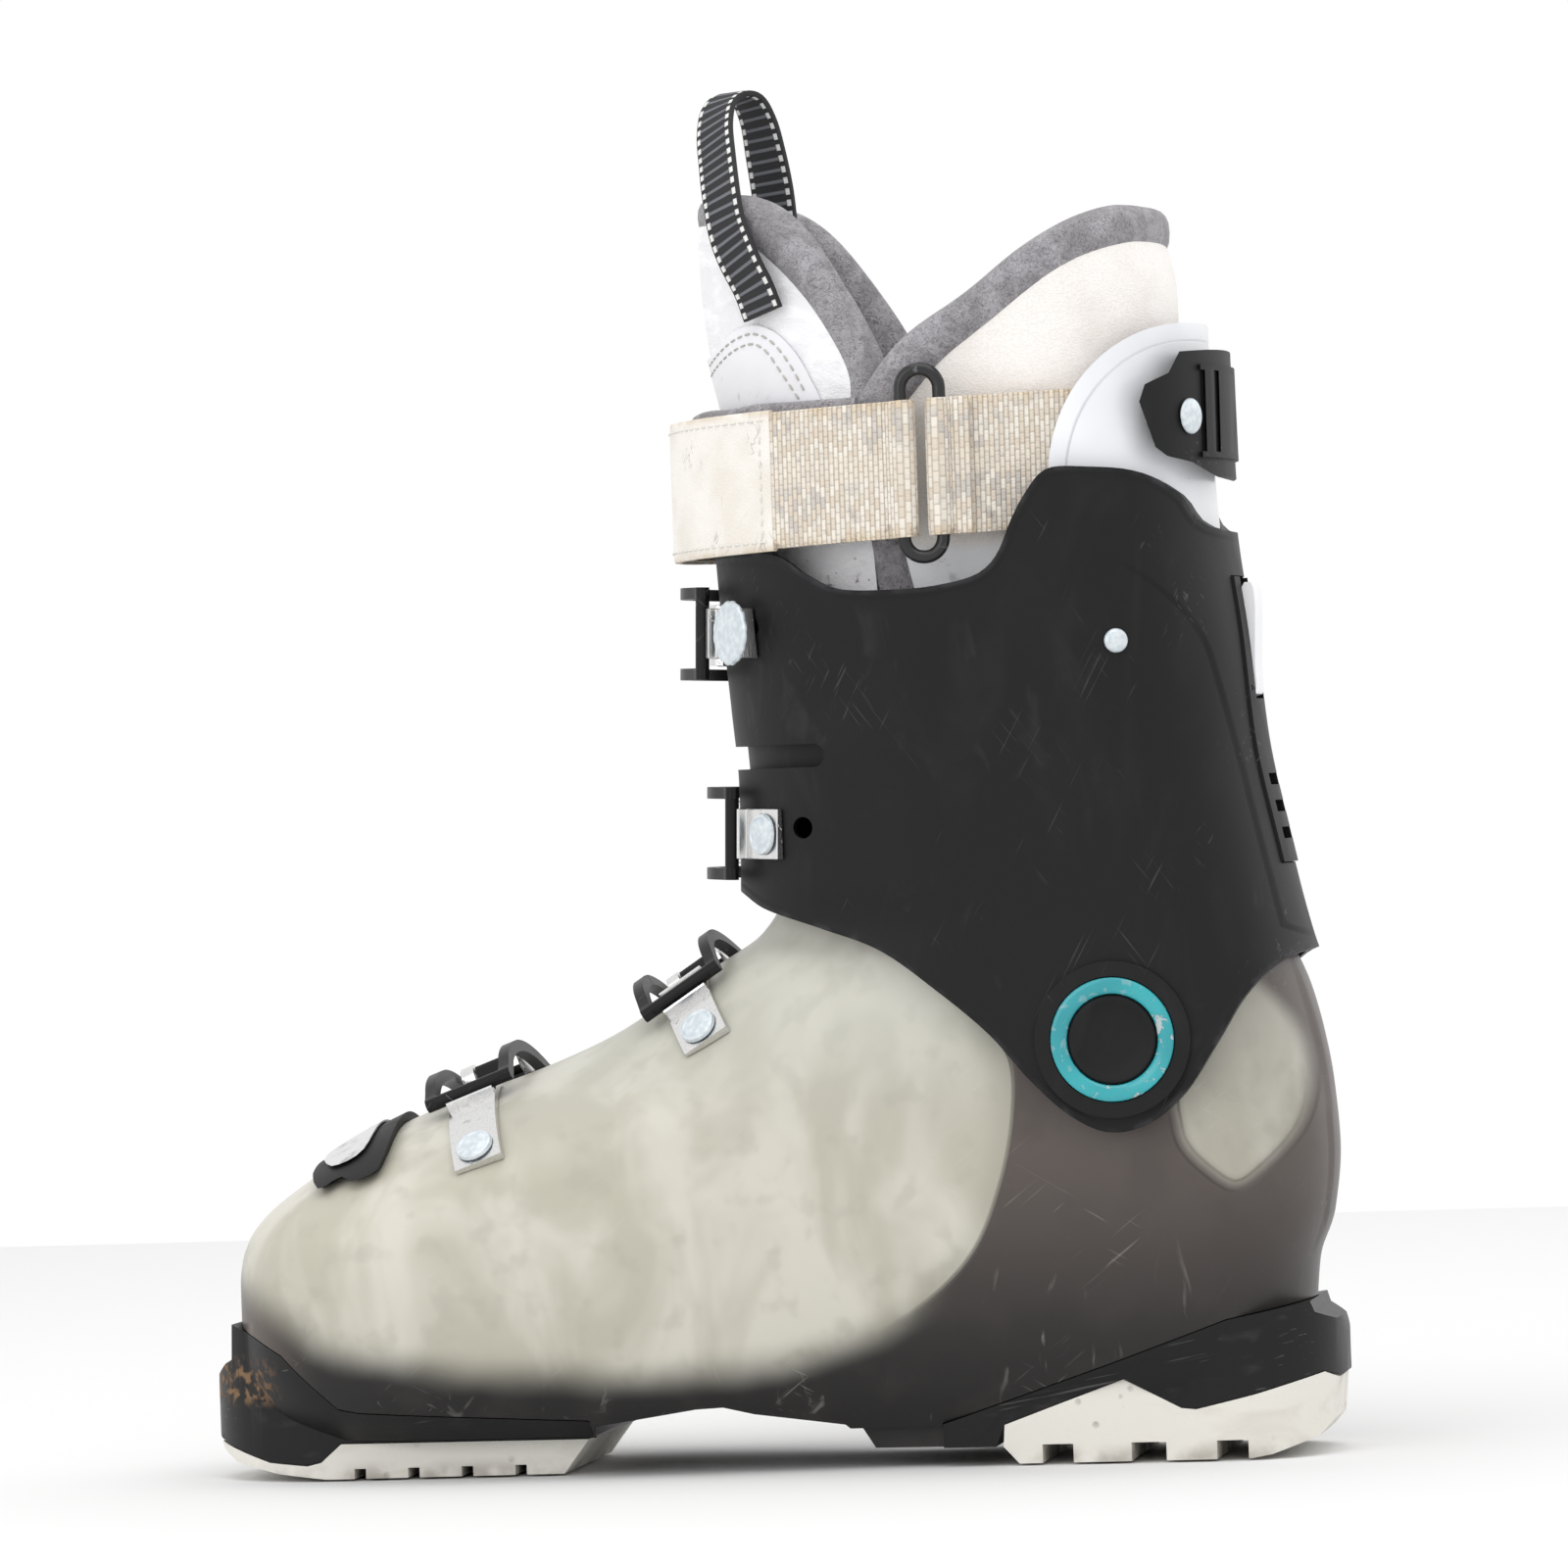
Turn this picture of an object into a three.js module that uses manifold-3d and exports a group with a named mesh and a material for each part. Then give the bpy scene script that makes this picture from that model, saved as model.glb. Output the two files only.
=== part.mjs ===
// Alpine ski boot, right foot. Millimetres; X to the toe, Y to the inner side, Z up from the floor.
import * as THREE from "three";
import { mergeVertices } from "three/addons/utils/BufferGeometryUtils.js";
import Module from "manifold-3d";

// ---------- driving dimensions ----------
const GAP = 0.3; // clearance left between pieces that touch
const SOLE_LENGTH = 297.3;
const SOLE_HALF_WIDTH = 34.5;
const SHELL_WALL = 5.0;
const SOLE_SKIN = 2.7; // thickness of the sole blocks where they wrap the shell
const SHELL_FLOOR = 21; // inside floor height of the shell
const CUFF_WALL = 4.1;
const LINER_WALL = 7;
const LINER_INSET = CUFF_WALL + 7.8; // outside of the liner shaft, measured in from the cuff surface
const PIVOT_X = -95.5;
const PIVOT_Z = 108.6;
const PIVOT_BOLT_RADIUS = 5;
const PIVOT_CAP_RADIUS = 11.3;
const PIVOT_RING_RADIUS = 15.8;
const PIVOT_FACE_Y = 50.4; // flat face of the pivot boss on the cuff
const STRAP_THICKNESS = 2;
const STRAP_WIDTH = 35;
const BUCKLE_WIDTH = 16;
const BAIL_HALF_WIDTH = 12;
const LADDER_WIDTH = 13;

const wasm = await Module();
wasm.setup();
const group = new THREE.Group();

// ---------- small tools ----------
// Smooth curve through [at, value] pairs that never overshoots them.
function curve(...pairs) {
  const n = pairs.length;
  const slope = (i) => (pairs[i + 1][1] - pairs[i][1]) / (pairs[i + 1][0] - pairs[i][0]);
  const tangent = pairs.map((p, i) => {
    if (i === 0) return slope(0);
    if (i === n - 1) return slope(n - 2);
    const a = slope(i - 1);
    const b = slope(i);
    return a * b <= 0 ? 0 : (2 * a * b) / (a + b);
  });
  return (t) => {
    if (t <= pairs[0][0]) return pairs[0][1] + tangent[0] * (t - pairs[0][0]);
    if (t >= pairs[n - 1][0]) return pairs[n - 1][1] + tangent[n - 1] * (t - pairs[n - 1][0]);
    const i = pairs.findIndex((p) => p[0] > t) - 1;
    const h = pairs[i + 1][0] - pairs[i][0];
    const u = (t - pairs[i][0]) / h;
    const a = (1 + 2 * u) * (1 - u) ** 2;
    const b = u * (1 - u) ** 2 * h;
    const c = u * u * (3 - 2 * u);
    const d = u * u * (u - 1) * h;
    return a * pairs[i][1] + b * tangent[i] + c * pairs[i + 1][1] + d * tangent[i + 1];
  };
}

const smooth = (t) => {
  const u = Math.min(1, Math.max(0, t));
  return u * u * (3 - 2 * u);
};

// A geometry as a solid that can be joined and cut.
function solid(geometry) {
  const g = geometry.index ? geometry.toNonIndexed() : geometry.clone();
  g.deleteAttribute("normal");
  g.deleteAttribute("uv");
  const merged = mergeVertices(g, 1e-4);
  return new wasm.Manifold(
    new wasm.Mesh({
      numProp: 3,
      vertProperties: merged.attributes.position.array,
      triVerts: new Uint32Array(merged.index.array),
    }),
  );
}

// Closed body through rings of equal point count, capped at both ends.
function loft(rings) {
  const n = rings[0].length;
  const position = rings.flat(2);
  const index = [];
  for (let i = 0; i + 1 < rings.length; i++) {
    for (let j = 0; j < n; j++) {
      const a = i * n + j;
      const b = i * n + ((j + 1) % n);
      index.push(a, b, b + n, a, b + n, a + n);
    }
  }
  [0, rings.length - 1].forEach((i, top) => {
    const centre = position.length / 3;
    const mean = [0, 1, 2].map((k) => rings[i].reduce((sum, p) => sum + p[k], 0) / n);
    position.push(...mean);
    for (let j = 0; j < n; j++) {
      const a = i * n + j;
      const b = i * n + ((j + 1) % n);
      index.push(centre, top ? a : b, top ? b : a);
    }
  });
  const g = new THREE.BufferGeometry();
  g.setAttribute("position", new THREE.Float32BufferAttribute(position, 3));
  g.setIndex(index);
  return solid(g);
}

// Flat outline extruded by depth, centred on its plane.
function slab(outline, depth, holes = []) {
  const shape = new THREE.Shape(outline.map((p) => new THREE.Vector2(...p)));
  holes.forEach((h) => shape.holes.push(new THREE.Path(h.map((p) => new THREE.Vector2(...p)))));
  const g = new THREE.ExtrudeGeometry(shape, { depth, bevelEnabled: false, curveSegments: 8 });
  return g.translate(0, 0, -depth / 2);
}

// Side-view outline (x, z) extruded across the boot from y0 to y1.
function side(outline, y0 = -90, y1 = 90) {
  return solid(slab(outline, y1 - y0).rotateX(Math.PI / 2).translate(0, (y0 + y1) / 2, 0));
}

function box(x0, x1, y0, y1, z0, z1) {
  const g = new THREE.BoxGeometry(x1 - x0, y1 - y0, z1 - z0);
  return solid(g.translate((x0 + x1) / 2, (y0 + y1) / 2, (z0 + z1) / 2));
}

// Cylinder along Y between y0 and y1.
function across(x, z, radius, y0, y1, sides = 24) {
  const g = new THREE.CylinderGeometry(radius, radius, y1 - y0, sides);
  return solid(g.translate(x, (y0 + y1) / 2, z));
}

function node(name, body, color, roughness, metalness = 0) {
  const mesh = body.getMesh();
  const g = new THREE.BufferGeometry();
  const count = mesh.vertProperties.length / mesh.numProp;
  const position = new Float32Array(count * 3);
  for (let i = 0; i < count; i++) {
    for (let k = 0; k < 3; k++) position[i * 3 + k] = mesh.vertProperties[i * mesh.numProp + k];
  }
  g.setAttribute("position", new THREE.BufferAttribute(position, 3));
  g.setIndex(new THREE.BufferAttribute(mesh.triVerts, 1));
  g.computeVertexNormals();
  const material = new THREE.MeshStandardMaterial({ color, roughness, metalness });
  const made = new THREE.Mesh(g, material);
  made.name = name;
  group.add(made);
}

// ---------- plan sections ----------
// A section is described by its front and back ends, half width and the lengths of both rounded ends.
const unit = (s, x) => {
  const front = (x - (s.front - s.frontCap)) / s.frontCap;
  const back = (s.back + s.backCap - x) / s.backCap;
  if (front >= 1 || back >= 1) return 0;
  if (front > 0) return (1 - front ** s.frontPower) ** (1 / s.frontPower);
  if (back > 0) return (1 - back ** s.backPower) ** (1 / s.backPower);
  return 1;
};
const toeSkew = (x) => 6 * Math.max(0, (x - 20) / 120) ** 1.5;

// Ring of points around a section at height z; detail sets the points on each part of a side.
function ring(s, z, detail = [6, 4, 5]) {
  const xs = [];
  for (let i = 0; i <= detail[0]; i++) {
    const c = Math.cos((i / detail[0]) * (Math.PI / 2)) ** (2 / s.frontPower);
    xs.push([s.front - s.frontCap * (1 - c), i === 0 ? 0 : null]);
  }
  const span = s.front - s.frontCap - (s.back + s.backCap);
  for (let i = 1; i < detail[1]; i++) {
    xs.push([s.front - s.frontCap - (span * i) / detail[1], null]);
  }
  for (let i = detail[2]; i >= 0; i--) {
    const c = Math.cos((i / detail[2]) * (Math.PI / 2)) ** (2 / s.backPower);
    xs.push([s.back + s.backCap * (1 - c), i === 0 ? 0 : null]);
  }
  const right = xs.map(([x, y]) => [x, y === null ? s.half(x) * unit(s, x) : 0]);
  const left = right.slice(1, -1).reverse();
  return [
    ...right.map(([x, y]) => [x, y + toeSkew(x), z]),
    ...left.map(([x, y]) => [x, -y + toeSkew(x), z]),
  ];
}

// Body between two heights whose sections come from a function of height and inset.
function body(section, inset, heights, detail) {
  return loft(heights.map((z) => ring(section(z, inset), z, detail)));
}

// ---------- lower shell ----------
const shellFront = curve([10, 134], [20, 139], [30, 141.2], [50, 141.2], [56, 140.6], [62, 138.6],
  [68, 134], [74, 126.5], [80, 117.6], [86, 107.5], [92, 95], [98, 79], [104, 61], [112, 42],
  [120, 28.5], [130, 13], [137, 2], [144.4, -3.6], [156, -9], [166, -14]);
const shellBack = curve([10, -137], [20, -139.5], [40, -140.7], [50, -141.8], [62, -145.5],
  [78, -147.3], [95, -146.2], [114, -142.9], [120, -141.5], [126, -139.2], [134, -134.9],
  [142, -128.5], [150, -118.8]);
const shellForefoot = curve([10, 40], [20, 50], [30, 54], [45, 55.5], [60, 54.5], [75, 52], [90, 49.5],
  [105, 47.2], [120, 46], [135, 44.6], [166, 43]);
const shellHeel = curve([10, 32], [20, 35.5], [30, 37.5], [45, 39.8], [60, 41], [90, 42.8], [110, 43.5],
  [166, 43]);
const shellFrontCap = curve([10, 60], [56, 64], [74, 74], [90, 92], [104, 95], [120, 82], [140, 64],
  [166, 56]);
const shellFrontPower = curve([10, 2.3], [50, 2.3], [74, 2.1], [98, 1.85], [120, 1.85], [166, 2]);

// Sections of the shell moved in by inset, at right angles to its top line.
function shellAt(z, inset = 0) {
  let level = z;
  let across = 1;
  for (let i = 0; i < 4; i++) {
    const lean = shellFront(level + 0.5) - shellFront(level - 0.5);
    across = 1 / Math.hypot(1, lean);
    level = z + inset * -lean * across;
  }
  const forefoot = shellForefoot(z);
  const heel = shellHeel(z);
  return {
    front: shellFront(level) - inset * across,
    back: shellBack(z) + inset,
    frontCap: shellFrontCap(level) - 0.6 * inset,
    backCap: 37 - 0.5 * inset,
    frontPower: shellFrontPower(level),
    backPower: 2.1,
    half: (x) => heel + (forefoot - heel) * smooth((x + 75) / 120) - inset,
  };
}

const SHELL_HEIGHTS = [10, 15, 22, 32, 46, 56, 64, 71, 78, 85, 91, 97, 103, 109, 117, 127, 137, 148,
  160];
const INNER_HEIGHTS = [SHELL_FLOOR, 30, 44, 55, 64, 72, 80, 88, 96, 104, 114, 126, 139, 151, 162];

const TOE_PARTING = [[141.2, 40.2], [132, 36.5], [124.3, 32.7], [109.2, 18.6], [104, 17.6], [44, 14]];
const HEEL_PARTING = [[-46.5, 10.5], [-51.6, 12.1], [-91, 25.2], [-109, 31.5], [-120.4, 35.5],
  [-141, 39.2]];
const lift = (outline, dz) => outline.map(([x, z]) => [x, z + dz]);

function lowerShell() {
  const outer = body(shellAt, 0, SHELL_HEIGHTS);
  const outline = [
    [160, 40.5], ...lift(TOE_PARTING, GAP), [43.7, 9], [42.5, 12.5], [16, 16.5], [9, 16.8],
    [1.3, 14.7], [-21.4, 11.1], [-28.2, 4.5], [-46.2, 4.4], [-46.2, 10.5 + GAP],
    ...lift(HEEL_PARTING.slice(1), GAP), [-160, 39.5], [-160, 142.5], [-118, 142.5], [-60, 150], [-38, 152.5],
    [-25, 156], [-18, 158], [40, 158], [160, 110],
  ];
  const foot = side([[-28.2, 4.5], [-46.2, 4.4], [-46.2, 16], [-21, 16]], -30, 30);
  const core = body(shellAt, SOLE_SKIN + GAP, [18.2, 26, 36, 46, 52]);
  const inner = body(shellAt, SHELL_WALL, INNER_HEIGHTS);
  const upper = outer.add(foot).intersect(side(outline)).add(core).subtract(inner);
  return upper.add(shellFlap()).subtract(shellSlit()).subtract(pivotBores());
}

// The tongue side of the overlap closes the front opening from inside.
function shellFlap() {
  const outer = body(shellAt, SHELL_WALL - 0.5, INNER_HEIGHTS.slice(5));
  const inner = body(shellAt, SHELL_WALL + 2.4, INNER_HEIGHTS.slice(4));
  const sheet = outer.subtract(inner).intersect(side([[88, 60], [88, 160], [-18, 158], [-40, 151], [-40, 95]]));
  const root = sheet.intersect(box(-40, 88, -32, -15.2, 60, 157));
  const tip = sheet.intersect(box(-40, 88, -15.4, 12, 60, 157));
  const free = body(shellAt, SHELL_WALL + 0.5, INNER_HEIGHTS.slice(4));
  return root.add(tip.intersect(free));
}

const shellSlit = () => box(-40, 84, -15.2, -14.5, 84, 170).intersect(
  body(shellAt, -1, SHELL_HEIGHTS.slice(6)).subtract(body(shellAt, SHELL_WALL + 0.5,
    INNER_HEIGHTS.slice(4))),
);

const pivotBores = () => across(PIVOT_X, PIVOT_Z, PIVOT_BOLT_RADIUS + GAP, -70, 70);

// ---------- sole ----------
function soleBody() {
  const section = () => ({
    front: SOLE_LENGTH / 2, back: -SOLE_LENGTH / 2, frontCap: 42, backCap: 34, frontPower: 2.2,
    backPower: 2.2, half: () => SOLE_HALF_WIDTH,
  });
  return body(section, 0, [-1, 45], [7, 3, 6]);
}

const TOE_PAD = [[146.2, 9.4], [130.5, 4.4], [120, 3.5], [116.2, 4.4], [110.8, 9.1], [46, 8.8],
  [52.7, 0], [115, 0], [128, 1.5], [140.8, 4.4], [145.5, 7.6]];
const HEEL_PAD = [[-62.4, 10], [-75.6, 14.7], [-93.5, 21], [-108.2, 13.3], [-112, 12.9],
  [-127.3, 16.3], [-143.8, 20.8], [-147, 18.9], [-145.7, 8.5], [-142.1, 4.5], [-131, 0.8],
  [-126, 0], [-66, 0], [-62, 4.4]];

function toeSoleBlock(outer, core) {
  const outline = [
    ...TOE_PARTING.slice().reverse(), [141.6, 31], [144, 29.8], [147.5, 26.5], [148.6, 20],
    [148.6, 13], [147.4, 10.4], ...lift(TOE_PAD.slice(1, 5), GAP), [44, 9.1],
  ];
  return outer.add(soleBody()).intersect(side(outline)).subtract(core);
}

function toeSolePad() {
  let pad = soleBody().intersect(side(TOE_PAD));
  for (const x of [64, 78, 92, 106]) pad = pad.subtract(box(x - 1.5, x + 1.5, -50, 50, -1, 2.6));
  return pad;
}

function heelSoleBlock(outer, core) {
  const outline = [
    ...HEEL_PARTING, [-142, 36.4], [-146.9, 34.1], [-148.6, 30.5], [-148.4, 20],
    [-147.6, 19.1 + GAP], ...lift(HEEL_PAD.slice(0, 7).reverse(), GAP), [-60, 4.4], [-46.5, 4.4],
  ];
  return outer.add(soleBody()).intersect(side(outline)).subtract(core);
}

function heelSolePad(core) {
  let pad = soleBody().intersect(side(HEEL_PAD)).subtract(core);
  for (const [x0, x1] of [[-80, -72], [-104, -95], [-125, -117]]) {
    pad = pad.subtract(box(x0, x1, -50, 50, -1, 4.8));
  }
  return pad;
}

// ---------- inside the shell ----------
const BOARD_TOP = SHELL_FLOOR + 6;
const bootBoard = () => body(shellAt, SHELL_WALL + 0.5, [SHELL_FLOOR + GAP, BOARD_TOP]);
const INSOLE_FLOOR = BOARD_TOP + GAP + 4;
const FOOT_TOP = 147;

function linerFoot() {
  const inset = SHELL_WALL + 0.5;
  const heights = [INSOLE_FLOOR, 44, 56, 66, 76, 86, 96, 106, 118, 132];
  const outer = body(footAt, inset, [BOARD_TOP + GAP, ...heights.slice(1), FOOT_TOP]);
  return outer.subtract(body(footAt, inset + LINER_WALL, [...heights, FOOT_TOP + 1]));
}

// Liner sections follow the shell and stay clear of its inner flap from the instep up.
function footAt(z, inset) {
  const deep = inset + 3.1 * smooth((z - 56) / 10);
  return { ...shellAt(z, deep), back: shellBack(Math.min(z, 142)) + deep };
}

const insole = () => body(footAt, SHELL_WALL + LINER_WALL + 1.4, [INSOLE_FLOOR + GAP, INSOLE_FLOOR + 3.3]);

// ---------- toe guard ----------
function toeGuard() {
  const outline = [[119, 79], [115, 75.5], [108.5, 78.5], [105, 77.5], [98, 80.3], [97.2, 81.5],
    [97.2, 98], [124, 98]];
  const heights = [66, 71, 76, 81, 86, 91, 96];
  return body(shellAt, -2.4, heights).subtract(body(shellAt, -GAP, [60, ...heights]))
    .intersect(side(outline));
}

function toeGuardInset() {
  const outline = [[116.5, 82.2], [112.5, 81], [104, 85.2], [103.5, 96], [120, 96]];
  const heights = [66, 71, 76, 81, 86, 91, 96];
  return body(shellAt, -3.5, heights).subtract(body(shellAt, -2.4 - GAP, [60, ...heights]))
    .intersect(side(outline));
}

// ---------- cuff ----------
const cuffFront = curve([84, 122], [100, 84], [112, 52], [120, 36], [130, 20], [140, 9], [147, 6.6],
  [176, 6], [196, 7.3], [213, 8.6], [233, 9.9], [260, 11], [292, 12]);
const cuffBack = curve([84, -155], [110, -150.5], [122, -146.6], [133, -142.8], [159, -136.9], [185, -131.9],
  [211, -129.5], [238, -126.2], [256, -125.2], [292, -124.7]);
const cuffBackCap = curve([84, 38], [135, 39], [180, 46], [292, 46]);
const cuffFrontCap = curve([84, 96], [104, 100], [120, 88], [140, 67], [150, 60], [292, 58]);
const cuffForefoot = curve([84, 55.8], [105, 52.9], [120, 51.7], [135, 50.6], [150, 50.2], [190, 52.5],
  [235, 56], [292, 57.5]);
const cuffHeel = curve([84, 48.2], [110, 49.2], [135, 49.2], [150, 49.6], [190, 52], [235, 56],
  [292, 57.5]);

function cuffAt(z, inset = 0) {
  const forefoot = cuffForefoot(z);
  const heel = cuffHeel(z);
  return {
    front: cuffFront(z) - inset,
    back: cuffBack(z) + inset,
    frontCap: cuffFrontCap(z) - 0.6 * inset,
    backCap: cuffBackCap(z) - 0.5 * inset,
    frontPower: 2,
    backPower: 2.1,
    half: (x) => heel + (forefoot - heel) * smooth((x + 75) / 120) - inset,
  };
}

const CUFF_HEIGHTS = [83, 95, 107, 118, 128, 138, 149, 162, 178, 196, 214, 232, 258];
const CUFF_LOWER_EDGE = [[30, 152], [6, 149], [-3, 144.5], [-20, 139], [-36, 133], [-51, 122],
  [-64, 110.5], [-74, 98.6], [-84, 89.3], [-93, 85], [-102, 86], [-112.5, 93.4], [-122, 107],
  [-129, 118.5], [-136, 126], [-143, 129.4], [-160, 131]];
const CUFF_TOP_EDGE = [[-160, 238.5], [-121.7, 239], [-116, 247], [-107, 252.7], [-94.5, 254.4],
  [-84, 254], [-78.5, 248], [-75, 242], [-70.5, 232.5], [-66, 228.4], [-56, 225.8], [-44, 225],
  [-28, 226], [-20, 230], [-12, 235], [30, 236.5]];

function cuff() {
  const outer = body(cuffAt, 0, CUFF_HEIGHTS);
  const inner = body(cuffAt, CUFF_WALL, [80, ...CUFF_HEIGHTS.slice(1), 262]);
  const pad = body(cuffAt, CUFF_WALL - 0.5, [149, 178, 205, 225])
    .subtract(body(cuffAt, 7.4, [148, 178, 205, 226]))
    .intersect(box(-145, -110, -17, 17, 149.5, 224));
  const boss = (s) => across(PIVOT_X, PIVOT_Z, 20, Math.min(s * 46.2, s * PIVOT_FACE_Y),
    Math.max(s * 46.2, s * PIVOT_FACE_Y), 40);
  let shape = outer.subtract(inner).add(pad).add(cuffFlap());
  shape = shape.add(boss(1)).add(boss(-1)).intersect(side([...CUFF_LOWER_EDGE, ...CUFF_TOP_EDGE]));
  shape = shape.subtract(cuffSlit()).subtract(pivotBores()).subtract(pivotSeats());
  shape = shape.subtract(frontSlot()).subtract(spineRecess()).subtract(cuffHoles())
    .subtract(onBoth(shankBore(RIVET)));
  return shape;
}

// Inner layer of the front overlap, joined to the outer side of the cuff.
function cuffFlap() {
  const heights = [140, 158, 178, 200, 220, 240];
  const sheet = (from, to) => body(cuffAt, from, heights)
    .subtract(body(cuffAt, to, [139, ...heights.slice(1, -1), 241]));
  const root = sheet(CUFF_WALL - 0.5, 7.4).intersect(box(-40, 30, -33, -15.2, 140, 240));
  const tip = sheet(CUFF_WALL + 0.5, 7.4).intersect(box(-40, 30, -15.4, 16, 140, 240));
  return root.add(tip);
}

const cuffSlit = () => box(-40, 30, -15.2, -14.5, 100, 260)
  .subtract(body(cuffAt, CUFF_WALL + 0.5, [99, 120, 140, 158, 178, 200, 220, 261]));

// Slot that lets the front flaps bend, rounded at its end; a thin web closes it from inside.
function frontSlot() {
  const half = 3;
  const z = 183.5;
  const reach = body(cuffAt, -2, [170, 200]).subtract(body(cuffAt, CUFF_WALL - 1, [169, 201]));
  return box(-20, 30, -14.8, 60, z - half, z + half).add(across(-20, z, half, -14.8, 60, 16))
    .intersect(reach);
}

function cuffHoles() {
  return across(-3, 217, 2.8, 20, 60, 14).add(across(-16, 165, 2.8, 20, 60, 14));
}

// Counterbores for the pivot cap and its coloured ring, on both sides.
const pivotSeats = () => across(PIVOT_X, PIVOT_Z, PIVOT_RING_RADIUS + GAP, PIVOT_FACE_Y - 1.6, 70, 32)
  .add(across(PIVOT_X, PIVOT_Z, PIVOT_RING_RADIUS + GAP, -70, 1.6 - PIVOT_FACE_Y, 32));

const pivotRing = () => across(PIVOT_X, PIVOT_Z, PIVOT_RING_RADIUS, PIVOT_FACE_Y - 1.3,
  PIVOT_FACE_Y + 0.6, 32)
  .subtract(across(PIVOT_X, PIVOT_Z, PIVOT_CAP_RADIUS + GAP, 40, 70, 32));

const pivotBolt = () => across(PIVOT_X, PIVOT_Z, PIVOT_BOLT_RADIUS, SHELL_INSIDE_Y, PIVOT_FACE_Y, 16)
  .add(across(PIVOT_X, PIVOT_Z, PIVOT_CAP_RADIUS, PIVOT_FACE_Y - 1.3, PIVOT_FACE_Y + 0.3, 32));
const SHELL_INSIDE_Y = 39.4;

// ---------- spine with the walk lever ----------
const SPINE = { low: 152, high: 226, half: 15 };
const LEVER = { pinZ: 197, high: 224.5, half: 9, depth: 1.5 };

const spineLayer = (from, to, z0, z1, half) => body(cuffAt, from, [z0, (z0 + z1) / 2, z1])
  .subtract(body(cuffAt, to, [z0 - 1, (z0 + z1) / 2, z1 + 1]))
  .intersect(box(-150, -112, -half, half, z0, z1));

const spineRecess = () => spineLayer(-3, 4.2, SPINE.low - GAP, SPINE.high + GAP, SPINE.half + GAP);

const leverPin = (radius, reach) => across(cuffBack(LEVER.pinZ) + LEVER.depth, LEVER.pinZ, radius,
  -reach, reach, 12);

// Frame let into the back of the cuff, open at the top round the lever.
function spinePlate() {
  const half = LEVER.half + 0.4;
  return spineLayer(-0.8, 3.9, SPINE.low, SPINE.high, SPINE.half)
    .subtract(box(-150, -112, -half, half, LEVER.pinZ - 2.6, SPINE.high + 2))
    .subtract(leverPin(1.1 + GAP, SPINE.half - 2));
}

function walkLever() {
  const profile = [[-0.5, 197], [0, 195.6], [1.5, 195], [3, 195.6], [3.5, 197], [3.4, 206], [3.1, 214],
    [1.4, 221], [-1, LEVER.high], [-2.9, LEVER.high], [-3.1, 220], [-1.8, 211], [-0.8, 203]];
  return side(profile.map(([depth, z]) => [cuffBack(z) + depth, z]), -LEVER.half, LEVER.half)
    .subtract(leverPin(1.1 + GAP, 20));
}

const walkLeverPin = () => leverPin(1.1, SPINE.half - 2.3);

// Catch on the rear rim of the shell, notched for the latch.
const walkCatch = () => box(-127.5, -122.8, -8, 8, 142.5 + GAP, 150)
  .subtract(box(-130, -124.4, -3, 3, 146, 151));

// ---------- spoiler and strap keeper ----------
const SPOILER_INSET = CUFF_WALL + GAP;
const SPOILER_WALL = 3;
const SPOILER_EDGE = [[-88, 205], [-84, 225], [-84.5, 257], [-88, 269], [-94.5, 279], [-104, 287],
  [-114, 291], [-140, 292], [-140, 225], [-114, 225], [-110, 205]];

function spoiler() {
  const heights = [204, 226, 248, 270, 293];
  return body(cuffAt, SPOILER_INSET, heights)
    .subtract(body(cuffAt, SPOILER_INSET + SPOILER_WALL, [203, ...heights.slice(1, -1), 294]))
    .intersect(side(SPOILER_EDGE)).subtract(onBoth(shankBore(CLIP_RIVET)))
    .subtract(onBoth(shankBore(RIVET)));
}

const CLIP_EDGE = [[-117, 283.5], [-150, 288], [-150, 254.5], [-124, 251.6], [-119, 255.3],
  [-113.5, 256.8], [-111, 259], [-107.6, 270.6], [-109, 275], [-114.5, 278]];
const CLIP_RIVET = { x: -119, z: 267, outset: 1 + GAP };
const RIVET = { x: -100, z: 210, outset: GAP };

function strapClip() {
  const heights = [248, 262, 276, 290];
  return body(cuffAt, -1, heights)
    .subtract(body(cuffAt, SPOILER_INSET - GAP, [247, ...heights.slice(1, -1), 291]))
    .intersect(side(CLIP_EDGE)).subtract(onBoth(shankBore(CLIP_RIVET)));
}

const SHANK_RADIUS = 1.5;

// Puts a geometry made along +Y on the cuff's surface, facing out along its level normal.
function onSurface(geometry, { x, z, outset }) {
  const s = cuffAt(z, -outset);
  const y = (at) => s.half(at) * unit(s, at);
  const slope = (y(x + 1) - y(x - 1)) / 2;
  return geometry.rotateZ(Math.atan(slope)).translate(x, y(x) + toeSkew(x), z);
}

function shankBore(place) {
  const radius = SHANK_RADIUS + GAP;
  return solid(onSurface(new THREE.CylinderGeometry(radius, radius, 20, 12), place));
}

const mirror = (shape) => shape.mirror([0, 1, 0]);
const onBoth = (shape) => shape.add(mirror(shape));

// Rivet whose domed head stands on the surface and whose shank reaches in through the walls.
function headedRivet(place, headRadius, reach) {
  const profile = [[0, -reach], [SHANK_RADIUS, -reach], [SHANK_RADIUS, 0], [headRadius, 0],
    [headRadius * 0.9, 0.7], [headRadius * 0.55, 1.2], [0, 1.35]].map((p) => new THREE.Vector2(...p));
  return solid(onSurface(new THREE.LatheGeometry(profile, 14), place));
}

const clipRivet = () => headedRivet(CLIP_RIVET, 4.6, SPOILER_INSET + SPOILER_WALL + 1.2);
const spoilerRivet = () => headedRivet(RIVET, 3.1, SPOILER_INSET + SPOILER_WALL + 0.2);

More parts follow.
